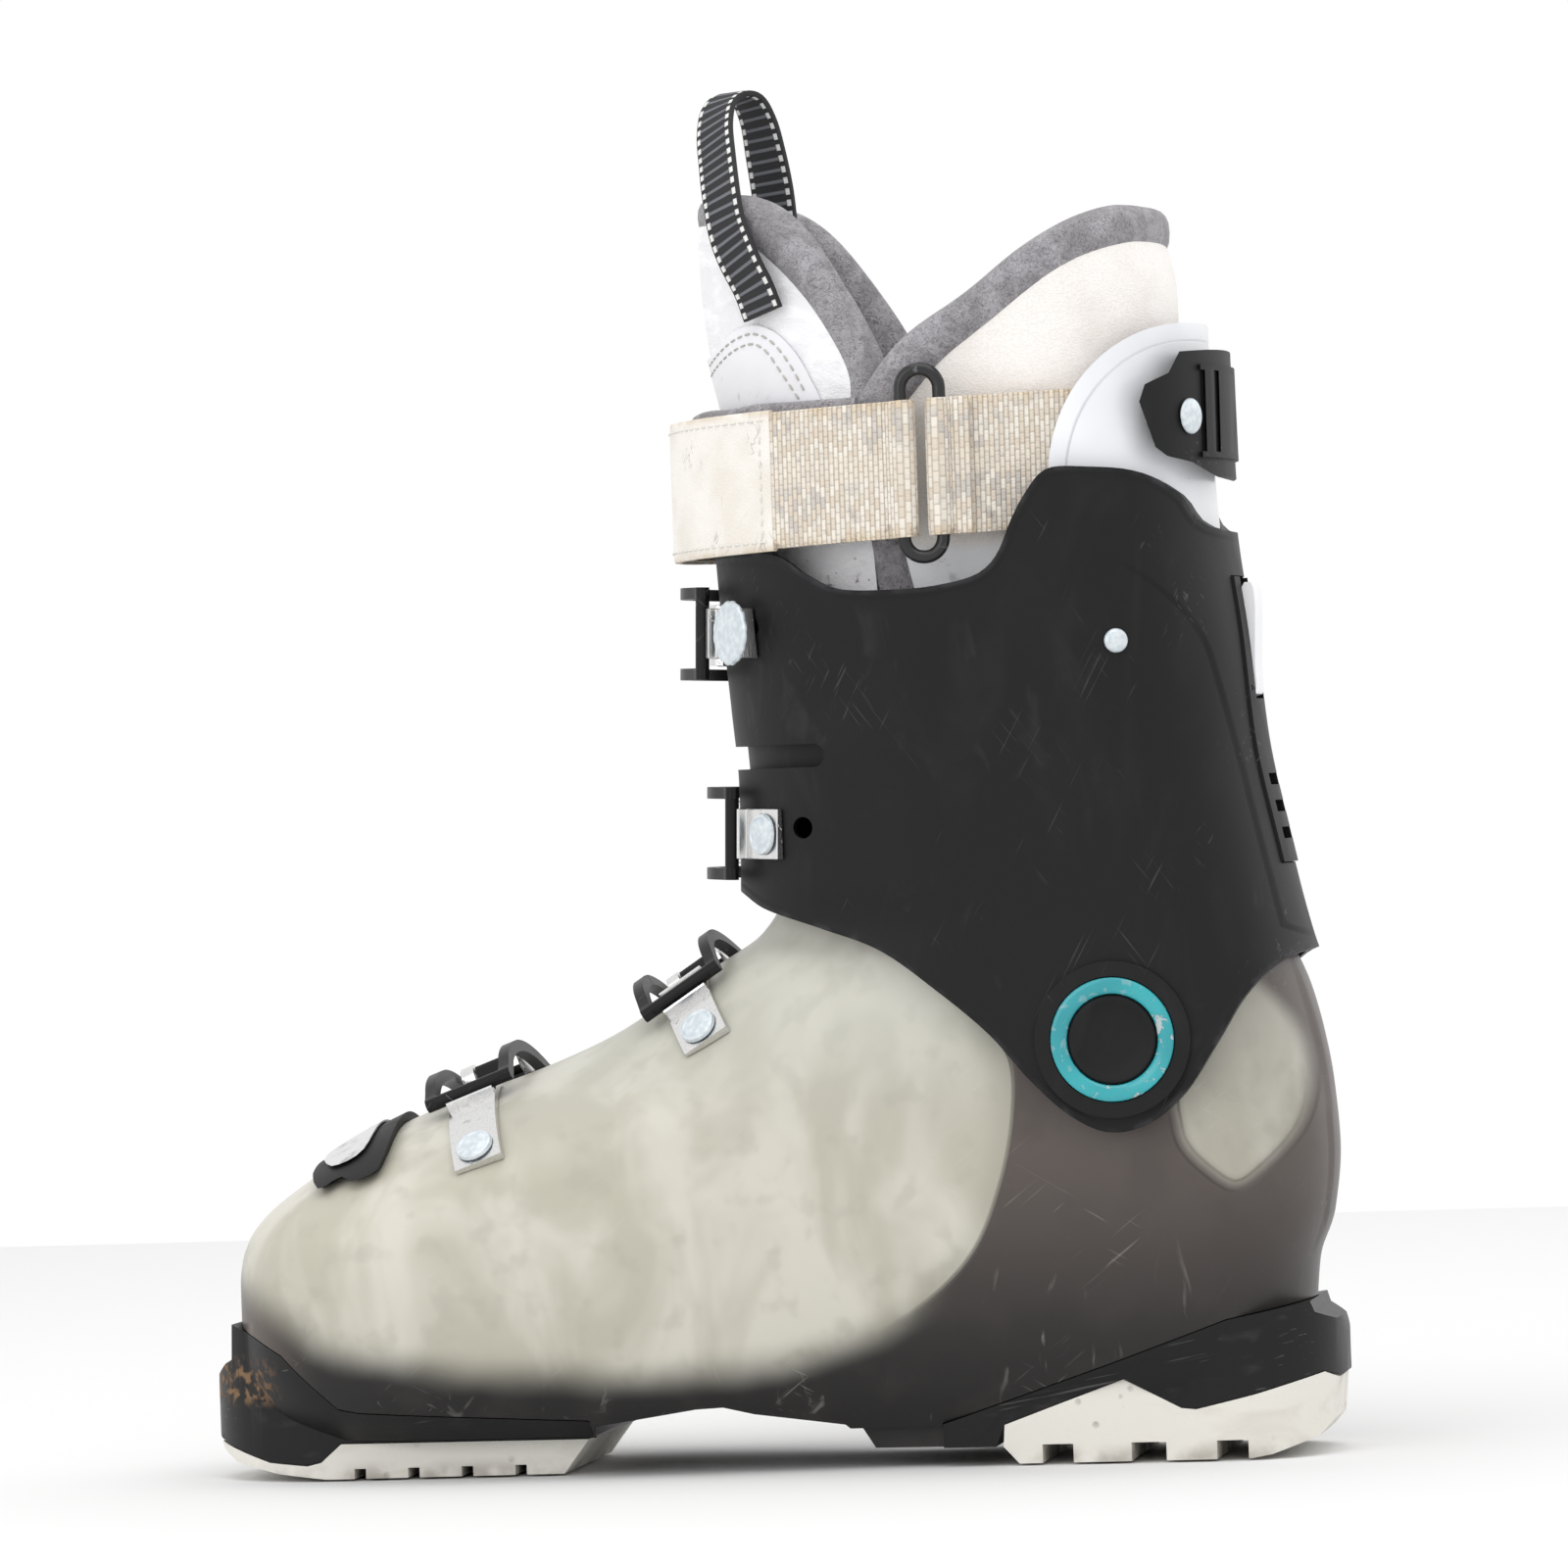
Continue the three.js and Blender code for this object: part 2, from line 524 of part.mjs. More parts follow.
// ---------- liner shaft, tongue and trims ----------
const SHAFT_EDGE = [[-60, 174], [-48, 205], [-41, 240], [-38, 262], [-40, 270], [-48, 279],
  [-57, 294], [-70, 309], [-83, 319], [-96, 323], [-112, 324.5], [-140, 324.5], [-140, 174]];
const SHAFT_HEIGHTS = [173, 200, 230, 260, 285, 303, 315, 326];
const LINER_DETAIL = [5, 3, 5];

// The liner leans in a little above the cuff.
function linerAt(z, inset) {
  const s = cuffAt(z, inset);
  return { ...s, back: s.back + 8 * smooth((z - 300) / 36) };
}

function linerShaft() {
  return body(linerAt, LINER_INSET, SHAFT_HEIGHTS, LINER_DETAIL)
    .subtract(body(linerAt, LINER_INSET + LINER_WALL, [172, ...SHAFT_HEIGHTS.slice(1, -1), 327],
      LINER_DETAIL))
    .intersect(side(SHAFT_EDGE));
}

// Plush band over the top rim of the shaft.
function linerCollar() {
  const band = [[-37.5, 262], [-40, 270], [-48, 279], [-57, 294], [-70, 309], [-83, 319], [-96, 323.3],
    [-112, 325], [-140, 325], [-140, 315.5], [-112, 315], [-98, 314], [-88, 310.5], [-77, 302],
    [-65, 288], [-56, 273], [-48, 262]];
  const heights = [260, 280, 300, 314, 326];
  return body(linerAt, LINER_INSET - 2.8, heights, LINER_DETAIL)
    .subtract(body(linerAt, LINER_INSET - GAP, [259, ...heights.slice(1, -1), 327], LINER_DETAIL))
    .intersect(side(band));
}

const tongueFront = curve([172, -8.5], [190, -3.8], [215, -1.8], [233, 0.2], [250, 3.6], [271, 6],
  [292, 10.4], [306, 11.8], [319, 12.2], [330, 9]);
function tongueAt(z, inset) {
  return {
    front: tongueFront(z) - inset, back: -120, frontCap: 46 - 0.6 * inset, backCap: 40,
    frontPower: 2, backPower: 2, half: () => 43 - 7 * smooth((z - 240) / 90) - inset,
  };
}
const TONGUE_EDGE = [[-34, 174], [-38, 215], [-37, 250], [-35, 268], [-39, 281], [-32, 295],
  [-22, 311], [-13, 322], [-4, 327.5], [30, 329], [30, 174]];
const TONGUE_HEIGHTS = [173, 190, 212, 236, 258, 280, 300, 316, 330];

function tongue() {
  return body(tongueAt, 0, TONGUE_HEIGHTS, [6, 2, 2])
    .subtract(body(tongueAt, 8, [172, ...TONGUE_HEIGHTS.slice(1, -1), 331], [6, 2, 2]))
    .intersect(side(TONGUE_EDGE));
}

// Plush edging of the tongue: a band along its top rim, standing a little outside the panel.
function tongueTrim() {
  const band = [[-38, 277], [-39, 281], [-32, 295], [-22, 311], [-13, 322], [-4, 327.5], [30, 329],
    [30, 320], [0, 317], [-9, 308], [-19, 296], [-26, 284], [-29, 277]];
  const heights = [275, 290, 306, 319, 330];
  return body(tongueAt, -2.2, heights, [6, 2, 2])
    .subtract(body(tongueAt, -GAP, [274, ...heights.slice(1, -1), 331], [6, 2, 2]))
    .intersect(side(band));
}

function tonguePatch() {
  const outline = [[30, 277], [30, 283], [6, 289], [-3, 294.5], [-10, 294], [-17, 288], [-22.5, 280],
    [-24, 277]];
  const heights = [275, 286, 297];
  return body(tongueAt, -1.2, heights, [6, 2, 2])
    .subtract(body(tongueAt, -GAP, [274, 286, 298], [6, 2, 2]))
    .intersect(side(outline));
}

// Deforming ankle part of the liner between its foot and its shaft.
function linerBellows() {
  const low = FOOT_TOP + GAP;
  const high = 174 - GAP;
  const section = (z, inset) => {
    const t = (z - low) / (high - low);
    const a = footAt(FOOT_TOP, SHELL_WALL + 0.5);
    const b = linerAt(174, LINER_INSET);
    const mix = (p, q) => p + (q - p) * t;
    return {
      front: mix(a.front, -12) - 8.5 * Math.sin(Math.PI * t) - inset, back: mix(a.back, b.back) + inset,
      frontCap: mix(a.frontCap, 46), backCap: mix(a.backCap, b.backCap), frontPower: 2,
      backPower: 2.1, half: (x) => mix(a.half(x), b.half(x)) - inset,
    };
  };
  const steps = [0.25, 0.5, 0.75].map((t) => low + (high - low) * t);
  return body(section, 0, [low, ...steps, high], LINER_DETAIL)
    .subtract(body(section, 6, [low - 1, ...steps, high + 1], LINER_DETAIL));
}

// ---------- strips and wires ----------
// Rectangular strip along points with given width directions.
function strip(points, widths, width, thickness) {
  const v = (p) => new THREE.Vector3(...p);
  const rings = points.map((p, i) => {
    const ahead = v(points[Math.min(i + 1, points.length - 1)]).sub(v(points[Math.max(i - 1, 0)]));
    const w = v(widths[i]).addScaledVector(ahead.normalize(), -v(widths[i]).dot(ahead)).normalize();
    const n = new THREE.Vector3().crossVectors(ahead, w).multiplyScalar(thickness / 2);
    w.multiplyScalar(width / 2);
    const c = v(p);
    return [
      c.clone().add(w).add(n), c.clone().sub(w).add(n), c.clone().sub(w).sub(n),
      c.clone().add(w).sub(n),
    ].map((q) => q.toArray());
  });
  return loft(rings);
}

// Webbing loop over the tongue's rim: its front strand outside the panel, its rear strand inside.
function pullLoop() {
  const points = [[-9.6, 35, 297.5], [-7.4, 35, 304], [-4, 34.3, 311], [-0.4, 31.4, 320],
    [1.3, 28.8, 329], [3, 23.4, 339], [4.2, 17.6, 347.5], [3.6, 12.6, 353.6], [1, 8.8, 356.4],
    [-2.5, 6.2, 355.6], [-5, 4.2, 350], [-6.6, 3.2, 341], [-8, 2.4, 331], [-8.6, 2.2, 322]];
  const twist = curve([0, 0.52], [3, 0.68], [8, 0.95], [11, 0.5], [13, 0.4]);
  const widths = points.map((p, i) => [1, -twist(i), 0]);
  return strip(points, widths, 12.5, 1.8);
}

// Round wire along a closed loop of points.
function wireLoop(points, radius, segments) {
  const v = points.map((p) => new THREE.Vector3(...p));
  const path = new THREE.CatmullRomCurve3(v, true, "centripetal");
  return solid(new THREE.TubeGeometry(path, segments, radius, 6, true));
}

// ---------- power strap ----------
const STRAP_LOW = 235.5;
const STRAP_LEAN = 0.04; // the strap rises this much per unit length to the back
const STRAP_INSET = SPOILER_INSET + SPOILER_WALL + 0.9;
const RING = { front: -47, back: -57, y: 53, low: STRAP_LOW - 2.5, high: STRAP_LOW + STRAP_WIDTH + 10.5,
  wire: 1.7 };

// The strap runs outside the tongue in front and under the spoiler at the back.
function strapAt(z, inset) {
  const s = cuffAt(256, STRAP_INSET + inset);
  const half = s.half;
  return {
    ...s, front: 18.4 - inset, frontCap: 64 - 0.6 * inset,
    half: (x) => half(x) + 3 * smooth((x + 84) / 24),
  };
}

// Band of the strap loop between two insets, from low to high, within an x, y window.
function strapBand(from, to, low, high, window) {
  const rings = (inset, z0, z1) => [z0, z1].map((z) => ring(strapAt(z, inset), z, [9, 6, 7])
    .map(([x, y, h]) => [x, y, h + STRAP_LEAN * (18 - x)]));
  return loft(rings(from, low, high)).subtract(loft(rings(to, low - 1, high + 1)))
    .intersect(box(window[0], window[1], window[2], window[3], 200, 300));
}

const STRAP_HIGH = STRAP_LOW + STRAP_WIDTH;
const TAB_EDGE = -13;

function powerStrap() {
  const loop = strapBand(0, STRAP_THICKNESS, STRAP_LOW, STRAP_HIGH, [-200, 60, -90, 90])
    .subtract(box(RING.back, RING.front, 30, 90, 200, 300));
  const back = -STRAP_THICKNESS - GAP;
  const doubled = strapBand(back, -GAP, STRAP_LOW, STRAP_HIGH, [RING.front, TAB_EDGE, 20, 90]);
  const leaned = (x) => [STRAP_LOW + STRAP_LEAN * (18 - x), STRAP_HIGH + STRAP_LEAN * (18 - x)];
  const post = (x, r) => {
    const [low, high] = leaned(x);
    const g = new THREE.CylinderGeometry(r, r, high - low, 16).rotateX(Math.PI / 2);
    return solid(g.translate(x, RING.y, (low + high) / 2));
  };
  const fold = RING.wire + GAP + STRAP_THICKNESS;
  let strap = loop.add(doubled).add(post(RING.front, fold)).add(post(RING.back, fold));
  for (const x of [RING.front, RING.back]) {
    const bore = new THREE.CylinderGeometry(RING.wire + GAP, RING.wire + GAP, 60, 16)
      .rotateX(Math.PI / 2).translate(x, RING.y, 255);
    strap = strap.subtract(solid(bore));
  }
  return strap;
}

function strapRing() {
  const { front, back, y, low, high } = RING;
  const mid = (front + back) / 2;
  const bend = (front - back) / 2;
  const end = (z, turn) => [0, 1, 2, 3, 4].map((i) => {
    const a = turn + (i * Math.PI) / 4;
    return [mid + bend * Math.cos(a), y, z + bend * Math.sin(a)];
  });
  const heights = [0.2, 0.5, 0.8].map((t) => low + bend + t * (high - low - 2 * bend));
  const up = heights.map((z) => [front, y, z]);
  const down = heights.map((z) => [back, y, z]).reverse();
  return wireLoop([...end(high - bend, 0), ...down, ...end(low + bend, Math.PI), ...up], RING.wire, 36);
}

function strapTab() {
  const out = -STRAP_THICKNESS - GAP;
  return strapBand(out - 0.4, -GAP, STRAP_LOW - 0.6, STRAP_HIGH + 0.6, [TAB_EDGE + GAP, 60, -24, 70]);
}

const strapPad = () => strapBand(STRAP_THICKNESS + GAP, STRAP_THICKNESS + 4.5, STRAP_LOW + 3.2,
  STRAP_HIGH + 2.6, [-36, 60, -70, 70]);

// ---------- buckles ----------
// A buckle is laid out in its own plane: p across the boot, q away from the surface, and a along the
// hinge axis. The plane stands at origin and is tipped about Y.
function girth(section, origin, tilt) {
  const pts = [];
  for (let q = 12; q > -62; q -= 0.25) {
    const x = origin[0] + q * Math.sin(tilt);
    const z = origin[1] + q * Math.cos(tilt);
    const s = section(z, 0);
    const y = x > s.back + s.backCap ? s.half(x) * unit(s, x) : 0;
    if (y > 0) pts.push([y, q, toeSkew(x)]);
  }
  const path = [...pts.map(([y, q, k]) => [k - y, q]).reverse(), ...pts.map(([y, q, k]) => [k + y, q])];
  const length = [0];
  for (let i = 1; i < path.length; i++) {
    length.push(length[i - 1] + Math.hypot(path[i][0] - path[i - 1][0], path[i][1] - path[i - 1][1]));
  }
  const middle = (length[pts.length - 1] + length[pts.length]) / 2;
  const point = (s) => {
    const at = s + middle;
    let i = length.findIndex((l) => l > at);
    if (i < 1) i = i === 0 ? 1 : length.length - 1;
    const t = (at - length[i - 1]) / (length[i] - length[i - 1]);
    return [0, 1].map((k) => path[i - 1][k] + t * (path[i][k] - path[i - 1][k]));
  };
  // Point at distance s along the surface and height h above it.
  return (s, h) => {
    const a = point(s - 3);
    const b = point(s + 3);
    const d = Math.hypot(b[0] - a[0], b[1] - a[1]);
    const c = point(s);
    return [c[0] - ((b[1] - a[1]) / d) * h, c[1] + ((b[0] - a[0]) / d) * h];
  };
}

const BUCKLES = {
  toe: { section: shellAt, at: [76.3, 98.8], tilt: 20.5, lift: 0, end: 51.5, rivet: 5 },
  instep: { section: shellAt, at: [21, 125.2], tilt: 33, lift: 0, end: 40.5, rivet: 5 },
  lower_cuff: { section: cuffAt, at: [6.2, 164], tilt: 88, lift: 0, end: 39.5, rivet: 5.4 },
  upper_cuff: { section: cuffAt, at: [8.8, 216], tilt: 88, lift: 2.5, end: 38.5, rivet: 8.5 },
};
const TOOTH = [13.5, 18, 23.8];
const BAR_AT = 20.9;
const LEVER_PIN = { s: -17, h: 6.6, radius: 2 };
const BARREL = { s: -31, h: 7.4, radius: 1.7 };

function buckle(name, spec, keepOut) {
  const tilt = THREE.MathUtils.degToRad(spec.tilt);
  const at = girth(spec.section, spec.at, tilt);
  const frame = new THREE.Matrix4().makeRotationY(tilt).setPosition(spec.at[0], 0, spec.at[1]);
  const turn = new THREE.Matrix4().makeBasis(
    new THREE.Vector3(0, 1, 0), new THREE.Vector3(0, 0, 1), new THREE.Vector3(1, 0, 0));
  const stand = frame.multiply(turn);
  const prism = (outline, width, shift = 0) =>
    solid(slab(outline, width).translate(0, 0, shift).applyMatrix4(stand));
  const rod = (s, h, radius, width, sides = 10) => {
    const [p, q] = at(s, h);
    const g = new THREE.CylinderGeometry(radius, radius, width, sides).rotateX(Math.PI / 2);
    return solid(g.translate(p, q, 0).applyMatrix4(stand));
  };
  const line = (list) => list.map(([s, h]) => at(s, h));
  const up = spec.lift;
  const bore = rod(LEVER_PIN.s, LEVER_PIN.h, LEVER_PIN.radius + GAP, 40);

  node(name + "_ladder", ladder(prism, line, spec).subtract(keepOut), "#c9cbcc", 0.22, 0.9);
  node(name + "_ladder_rivet", ladderRivet(at, stand, spec), "#d9dde0", 0.3, 0.7);
  const base = prism(line([[-42, 2.2], [-44, -4], [-30, -4], [-11, -4], [-12, 2.2], [-13.2, 2.2],
    [-14, 8], [-16, 9.6], [-18.4, 9.6], [-20.5, 8], [-21.5, 2.2], [-32, 2.2]]), 8)
    .add(prism(line([[-42, 2.2], [-44, -4], [-30, -4], [-11, -4], [-12, 2.2], [-22, 2.2],
      [-32, 2.2]]), BUCKLE_WIDTH + 1));
  node(name + "_buckle_base", base.subtract(keepOut).subtract(bore), "#1d1d1f", 0.5);
  node(name + "_lever_pin", rod(LEVER_PIN.s, LEVER_PIN.h, LEVER_PIN.radius, BUCKLE_WIDTH), "#b9bbbd",
    0.3, 0.9);
  node(name + "_lever", lever(prism, line, rod).subtract(bore), "#c4c6c8", 0.25, 0.85);
  node(name + "_bail", bail(prism, line, rod, up), "#202022", 0.45, 0.2);
}

// Toothed plate the bail hooks on.
function ladder(prism, line, { end, lift }) {
  const top = 2.2 + lift;
  const edge = [[10.5, -4], [10, top]];
  for (const s of TOOTH) edge.push([s - 2, top], [s - 0.3, top + 2.3], [s + 0.9, top + 2.3], [s + 1, top]);
  for (let s = 29; s < end - 5; s += 5) edge.push([s, top]);
  edge.push([end, top], [end + 0.5, -4]);
  for (let s = end - 6; s > 13; s -= 6) edge.push([s, -4]);
  return prism(line(edge), LADDER_WIDTH);
}

function ladderRivet(at, stand, { end, lift, rivet: radius }) {
  const s = end - (lift ? 4 : 5.5);
  const h = 2.2 + lift;
  const [p, q] = at(s, h + GAP);
  const [p2, q2] = at(s, h + 3);
  const lean = Math.atan2(p2 - p, q2 - q);
  const profile = [[0, 0], [radius, 0], [radius * 0.97, 0.9], [radius * 0.7, 1.4], [0, 1.5]];
  const g = new THREE.LatheGeometry(profile.map((v) => new THREE.Vector2(...v)), 14);
  return solid(g.rotateZ(-lean).translate(p, q, 0).applyMatrix4(stand));
}

// Over-centre lever: two cheeks beside the base lug, running into a curved handle.
function lever(prism, line, rod) {
  const outline = line([[-13.4, 5], [-13.1, 7], [-14.2, 9.2], [-16, 10.4], [-22, 11.4], [-31, 11.2],
    [-40, 9.2], [-50, 8.4], [-56, 9.2], [-58, 10.6], [-59, 9.6], [-56.5, 6.6], [-50, 4.8], [-40, 4.4],
    [-31, 3.6], [-24, 3.4], [-18, 3], [-15.4, 3.4]]);
  const slot = line([[-10, 2], [-10, 13], [-17, 13.5], [-24, 13.5], [-24.5, 8], [-24, 2], [-17, 1.5]]);
  return prism(outline, BUCKLE_WIDTH).subtract(prism(slot, 8.8))
    .subtract(rod(BARREL.s, BARREL.h, BARREL.radius + GAP, 40));
}

// Wire frame from the barrel in the lever round to the bar that hooks on the ladder.
function bail(prism, line, rod, up) {
  const centre = [[BARREL.s, BARREL.h], [-24, 7.6], [-14, 7.8 + up * 0.6], [-4, 7.6 + up],
    [5, 7.2 + up], [12, 6.4 + up], [17, 5.2 + up], [BAR_AT, 4.6 + up]];
  const arm = line([...centre.map(([s, h]) => [s, h + 1.6]), [BAR_AT + 1.9, 4.4 + up],
    ...centre.slice().reverse().map(([s, h]) => [s, h - 1.6])]);
  const side = (BAIL_HALF_WIDTH * 2 - 3) / 2;
  return prism(arm, 3, side).add(prism(arm, 3, -side))
    .add(rod(BAR_AT, 4.6 + up, 1.8, BAIL_HALF_WIDTH * 2))
    .add(rod(BARREL.s, BARREL.h, BARREL.radius, BAIL_HALF_WIDTH * 2));
}

// ---------- assembly ----------
const shellOuter = body(shellAt, 0, SHELL_HEIGHTS);
const soleCore = body(shellAt, SOLE_SKIN, [17.9, 26, 36, 46, 52]);
const SMOKE = "#5d5450";
const BLACK = "#1e1e20";
const WHITE = "#e4e4e6";
const PLUSH = "#96938f";

node("lower_shell", lowerShell(), SMOKE, 0.35);
node("toe_sole_block", toeSoleBlock(shellOuter, soleCore), BLACK, 0.5);
node("toe_sole_pad", toeSolePad(), "#d8d4cb", 0.6);
node("heel_sole_block", heelSoleBlock(shellOuter, soleCore), BLACK, 0.5);
node("heel_sole_pad", heelSolePad(soleCore), "#dcd9d1", 0.6);
node("boot_board", bootBoard(), "#3c3c3e", 0.7);
node("liner_foot", linerFoot(), "#d6d4d0", 0.9);
node("insole", insole(), "#6d7a80", 0.9);
node("toe_guard", toeGuard(), BLACK, 0.5);
node("toe_guard_inset", toeGuardInset(), "#b9b9b7", 0.5);

node("cuff", cuff(), "#242425", 0.55);
for (const [sideName, place] of [["medial", (s) => s], ["lateral", mirror]]) {
  node("pivot_ring_" + sideName, place(pivotRing()), "#1b9da5", 0.35);
  node("pivot_bolt_" + sideName, place(pivotBolt()), "#161617", 0.4);
  node("clip_rivet_" + sideName, place(clipRivet()), "#d5d8da", 0.3, 0.7);
  node("spoiler_rivet_" + sideName, place(spoilerRivet()), "#d5d8da", 0.3, 0.7);
}
node("spine_plate", spinePlate(), "#2b2b2d", 0.5);
node("walk_lever", walkLever(), "#dddddf", 0.4);
node("walk_lever_pin", walkLeverPin(), "#8f9193", 0.3, 0.9);
node("walk_catch", walkCatch(), "#a9abad", 0.3, 0.9);
node("spoiler", spoiler(), WHITE, 0.35);
node("strap_clip", strapClip(), "#222224", 0.45);
node("liner_shaft", linerShaft(), "#dedcd8", 0.9);
node("liner_ankle_bellows", linerBellows(), "#cfccc6", 0.9);
node("liner_collar", linerCollar(), PLUSH, 1);
node("tongue", tongue(), WHITE, 0.6);
node("tongue_trim", tongueTrim(), PLUSH, 1);
node("tongue_patch", tonguePatch(), WHITE, 0.5);
node("pull_loop", pullLoop(), "#2c2c2e", 0.9);
node("power_strap", powerStrap(), "#d6ccbc", 0.9);
node("strap_ring", strapRing(), "#1c1c1d", 0.35, 0.6);
node("strap_tab", strapTab(), "#e2ddd4", 0.6);
node("strap_pad", strapPad(), "#8d8b88", 1);

const shellKeepOut = body(shellAt, -GAP, SHELL_HEIGHTS);
const cuffKeepOut = body(cuffAt, -GAP, CUFF_HEIGHTS);
for (const [name, spec] of Object.entries(BUCKLES)) {
  buckle(name, spec, spec.section === shellAt ? shellKeepOut : cuffKeepOut);
}

group.name = "ski_boot";
export default group;
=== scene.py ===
# %% [markdown]
# # An alpine ski boot
# A ski boot is two hard plastic shells round a soft liner. The lower shell holds the foot, the cuff
# turns on it about two pivots at the ankle, and four buckles pull both tight. This lesson builds the
# look of one right boot over a fixed mechanical frame, piece by piece, from sections and outlines.

# %% Load the frame
import bpy
import math
import numpy as np
from mathutils import Matrix, Vector


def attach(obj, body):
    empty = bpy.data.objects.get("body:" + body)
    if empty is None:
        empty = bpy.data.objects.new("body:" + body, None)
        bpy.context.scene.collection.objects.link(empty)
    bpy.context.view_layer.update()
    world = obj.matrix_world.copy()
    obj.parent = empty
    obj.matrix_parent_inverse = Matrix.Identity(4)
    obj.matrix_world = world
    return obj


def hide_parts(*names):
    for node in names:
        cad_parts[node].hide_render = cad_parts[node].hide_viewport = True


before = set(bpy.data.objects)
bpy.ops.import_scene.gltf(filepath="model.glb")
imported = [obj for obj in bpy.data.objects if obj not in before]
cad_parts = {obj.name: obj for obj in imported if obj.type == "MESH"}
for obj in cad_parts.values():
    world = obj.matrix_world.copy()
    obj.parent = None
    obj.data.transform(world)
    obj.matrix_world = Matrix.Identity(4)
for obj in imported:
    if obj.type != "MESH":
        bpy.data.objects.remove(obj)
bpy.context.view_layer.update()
world = bpy.context.scene

# %% [markdown]
# ## Camera
# The boot is seen from its inner side with the toe to the left, from a little behind and level with
# the ankle. A long lens from two metres keeps the sides nearly parallel. The camera could be aimed by
# a Track To constraint; its matrix is written out here because the horizon is also tipped by two degrees.

# %% Camera
AIM = Vector((-0.0053, 0, 0.1764))
DISTANCE = 2.3
SENSOR = 36
LENS_RATIO = 3900 / 1600
turn = math.radians(189)
tip = 0.034
back = Vector((math.sin(turn), -math.cos(turn), 0))
level = (-back).cross(Vector((0, 0, 1))).normalized()
across = level * math.cos(tip) - Vector((0, 0, 1)) * math.sin(tip)
up = across.cross(-back).normalized()
camera = bpy.data.objects.new("camera", bpy.data.cameras.new("camera"))
camera.data.sensor_width = SENSOR
camera.data.lens = SENSOR * DISTANCE * LENS_RATIO
camera.data.clip_end = 50
facing = Matrix((across, up, back)).transposed().to_4x4()
camera.matrix_world = Matrix.Translation(AIM + back * DISTANCE) @ facing
world.collection.objects.link(camera)
world.camera = camera
print("camera lens", round(camera.data.lens), "mm")

# %% [markdown]
# ## Floor and light
# A product is easiest to read on a pale floor under large soft lights: one broad panel above, one
# towards the viewer and a low fill, over a pale world. Small lamps would draw hard shadows that hide form.


# %% Floor and light
def panel(name, place, size, power):
    lamp = bpy.data.objects.new(name, bpy.data.lights.new(name, "AREA"))
    lamp.data.size = size
    lamp.data.energy = power
    lamp.location = place
    lamp.rotation_mode = "QUATERNION"
    lamp.rotation_quaternion = (Vector(place) - AIM).to_track_quat("Z", "Y")
    world.collection.objects.link(lamp)


panel("top_panel", (-0.1, 0.5, 1.7), 1.5, 9)
panel("front_panel", (0.9, 1.5, 0.8), 1.1, 4.5)
panel("back_panel", (-1.3, -0.9, 1.0), 1.2, 3)
sky = bpy.data.worlds.new("studio")
sky.use_nodes = True
sky.node_tree.nodes["Background"].inputs[0].default_value = (1, 1, 1, 1)
sky.node_tree.nodes["Background"].inputs[1].default_value = 1.0
world.world = sky
floor_mesh = bpy.data.meshes.new("floor")
corners = [(-1.2, -1.2, -0.0006), (1.2, -1.2, -0.0006), (1.2, 1.2, -0.0006), (-1.2, 1.2, -0.0006)]
floor_mesh.from_pydata(corners, [], [(0, 1, 2, 3)])
floor = bpy.data.objects.new("floor", floor_mesh)
world.collection.objects.link(floor)
world.view_settings.view_transform = "Standard"
print("stage: floor and three light panels")

# %% [markdown]
# ## Shader arithmetic
# Finishes are small formulas: a mask times a colour, a noise minus a threshold. Wrapping a socket in a
# class whose + - * / add Math nodes lets each formula be read as a formula. Colours are never put
# through Math nodes, which would turn them grey; they meet in Mix nodes.


# %% Numbers that are sockets
class Number:
    """One number that varies over a surface, held by a socket of a finish."""

    def __init__(self, finish, socket):
        self.finish = finish
        self.socket = socket

    def __add__(self, other):
        return self.finish.maths("ADD", self, other)

    def __sub__(self, other):
        return self.finish.maths("SUBTRACT", self, other)

    def __rsub__(self, other):
        return self.finish.maths("SUBTRACT", other, self)

    def __mul__(self, other):
        return self.finish.maths("MULTIPLY", self, other)

    def __truediv__(self, other):
        return self.finish.maths("DIVIDE", self, other)

    def __rtruediv__(self, other):
        return self.finish.maths("DIVIDE", other, self)

    def __pow__(self, other):
        return self.finish.maths("POWER", self, other)

    __radd__ = __add__
    __rmul__ = __mul__

    def size(self):
        return self.finish.maths("ABSOLUTE", self)

    def most(self, other):
        return self.finish.maths("MAXIMUM", self, other)

    def least(self, other):
        return self.finish.maths("MINIMUM", self, other)

    def rise(self, low, high):
        """0 below low, 1 above high and a smooth step between; low may be above high."""
        sockets = {"Value": self, "From Min": low, "From Max": high}
        made = self.finish.node("ShaderNodeMapRange", {"interpolation_type": "SMOOTHSTEP"}, sockets)
        return Number(self.finish, made.outputs["Result"])

    def line(self, half, soft=0.3):
        """1 where the number is within half of zero."""
        return self.size().rise(half + soft, half)


# %% [markdown]
# ## Finishes
# A finish is one material. Its patterns are laid out in millimetres of the boot's own space, so a grain
# keeps its size on every piece and moves with it. Marks are numbers stored on the mesh, such as the
# distance to an outline; a texture map could carry them too, but a distance stays sharp at any size.


# %% Building finishes
def tone(red, green, blue):
    """Screen colour 0 to 255 as the linear colour that shaders use."""
    one = [c / 255 for c in (red, green, blue)]
    return (*[c / 12.92 if c < 0.04045 else ((c + 0.055) / 1.055) ** 2.4 for c in one], 1)


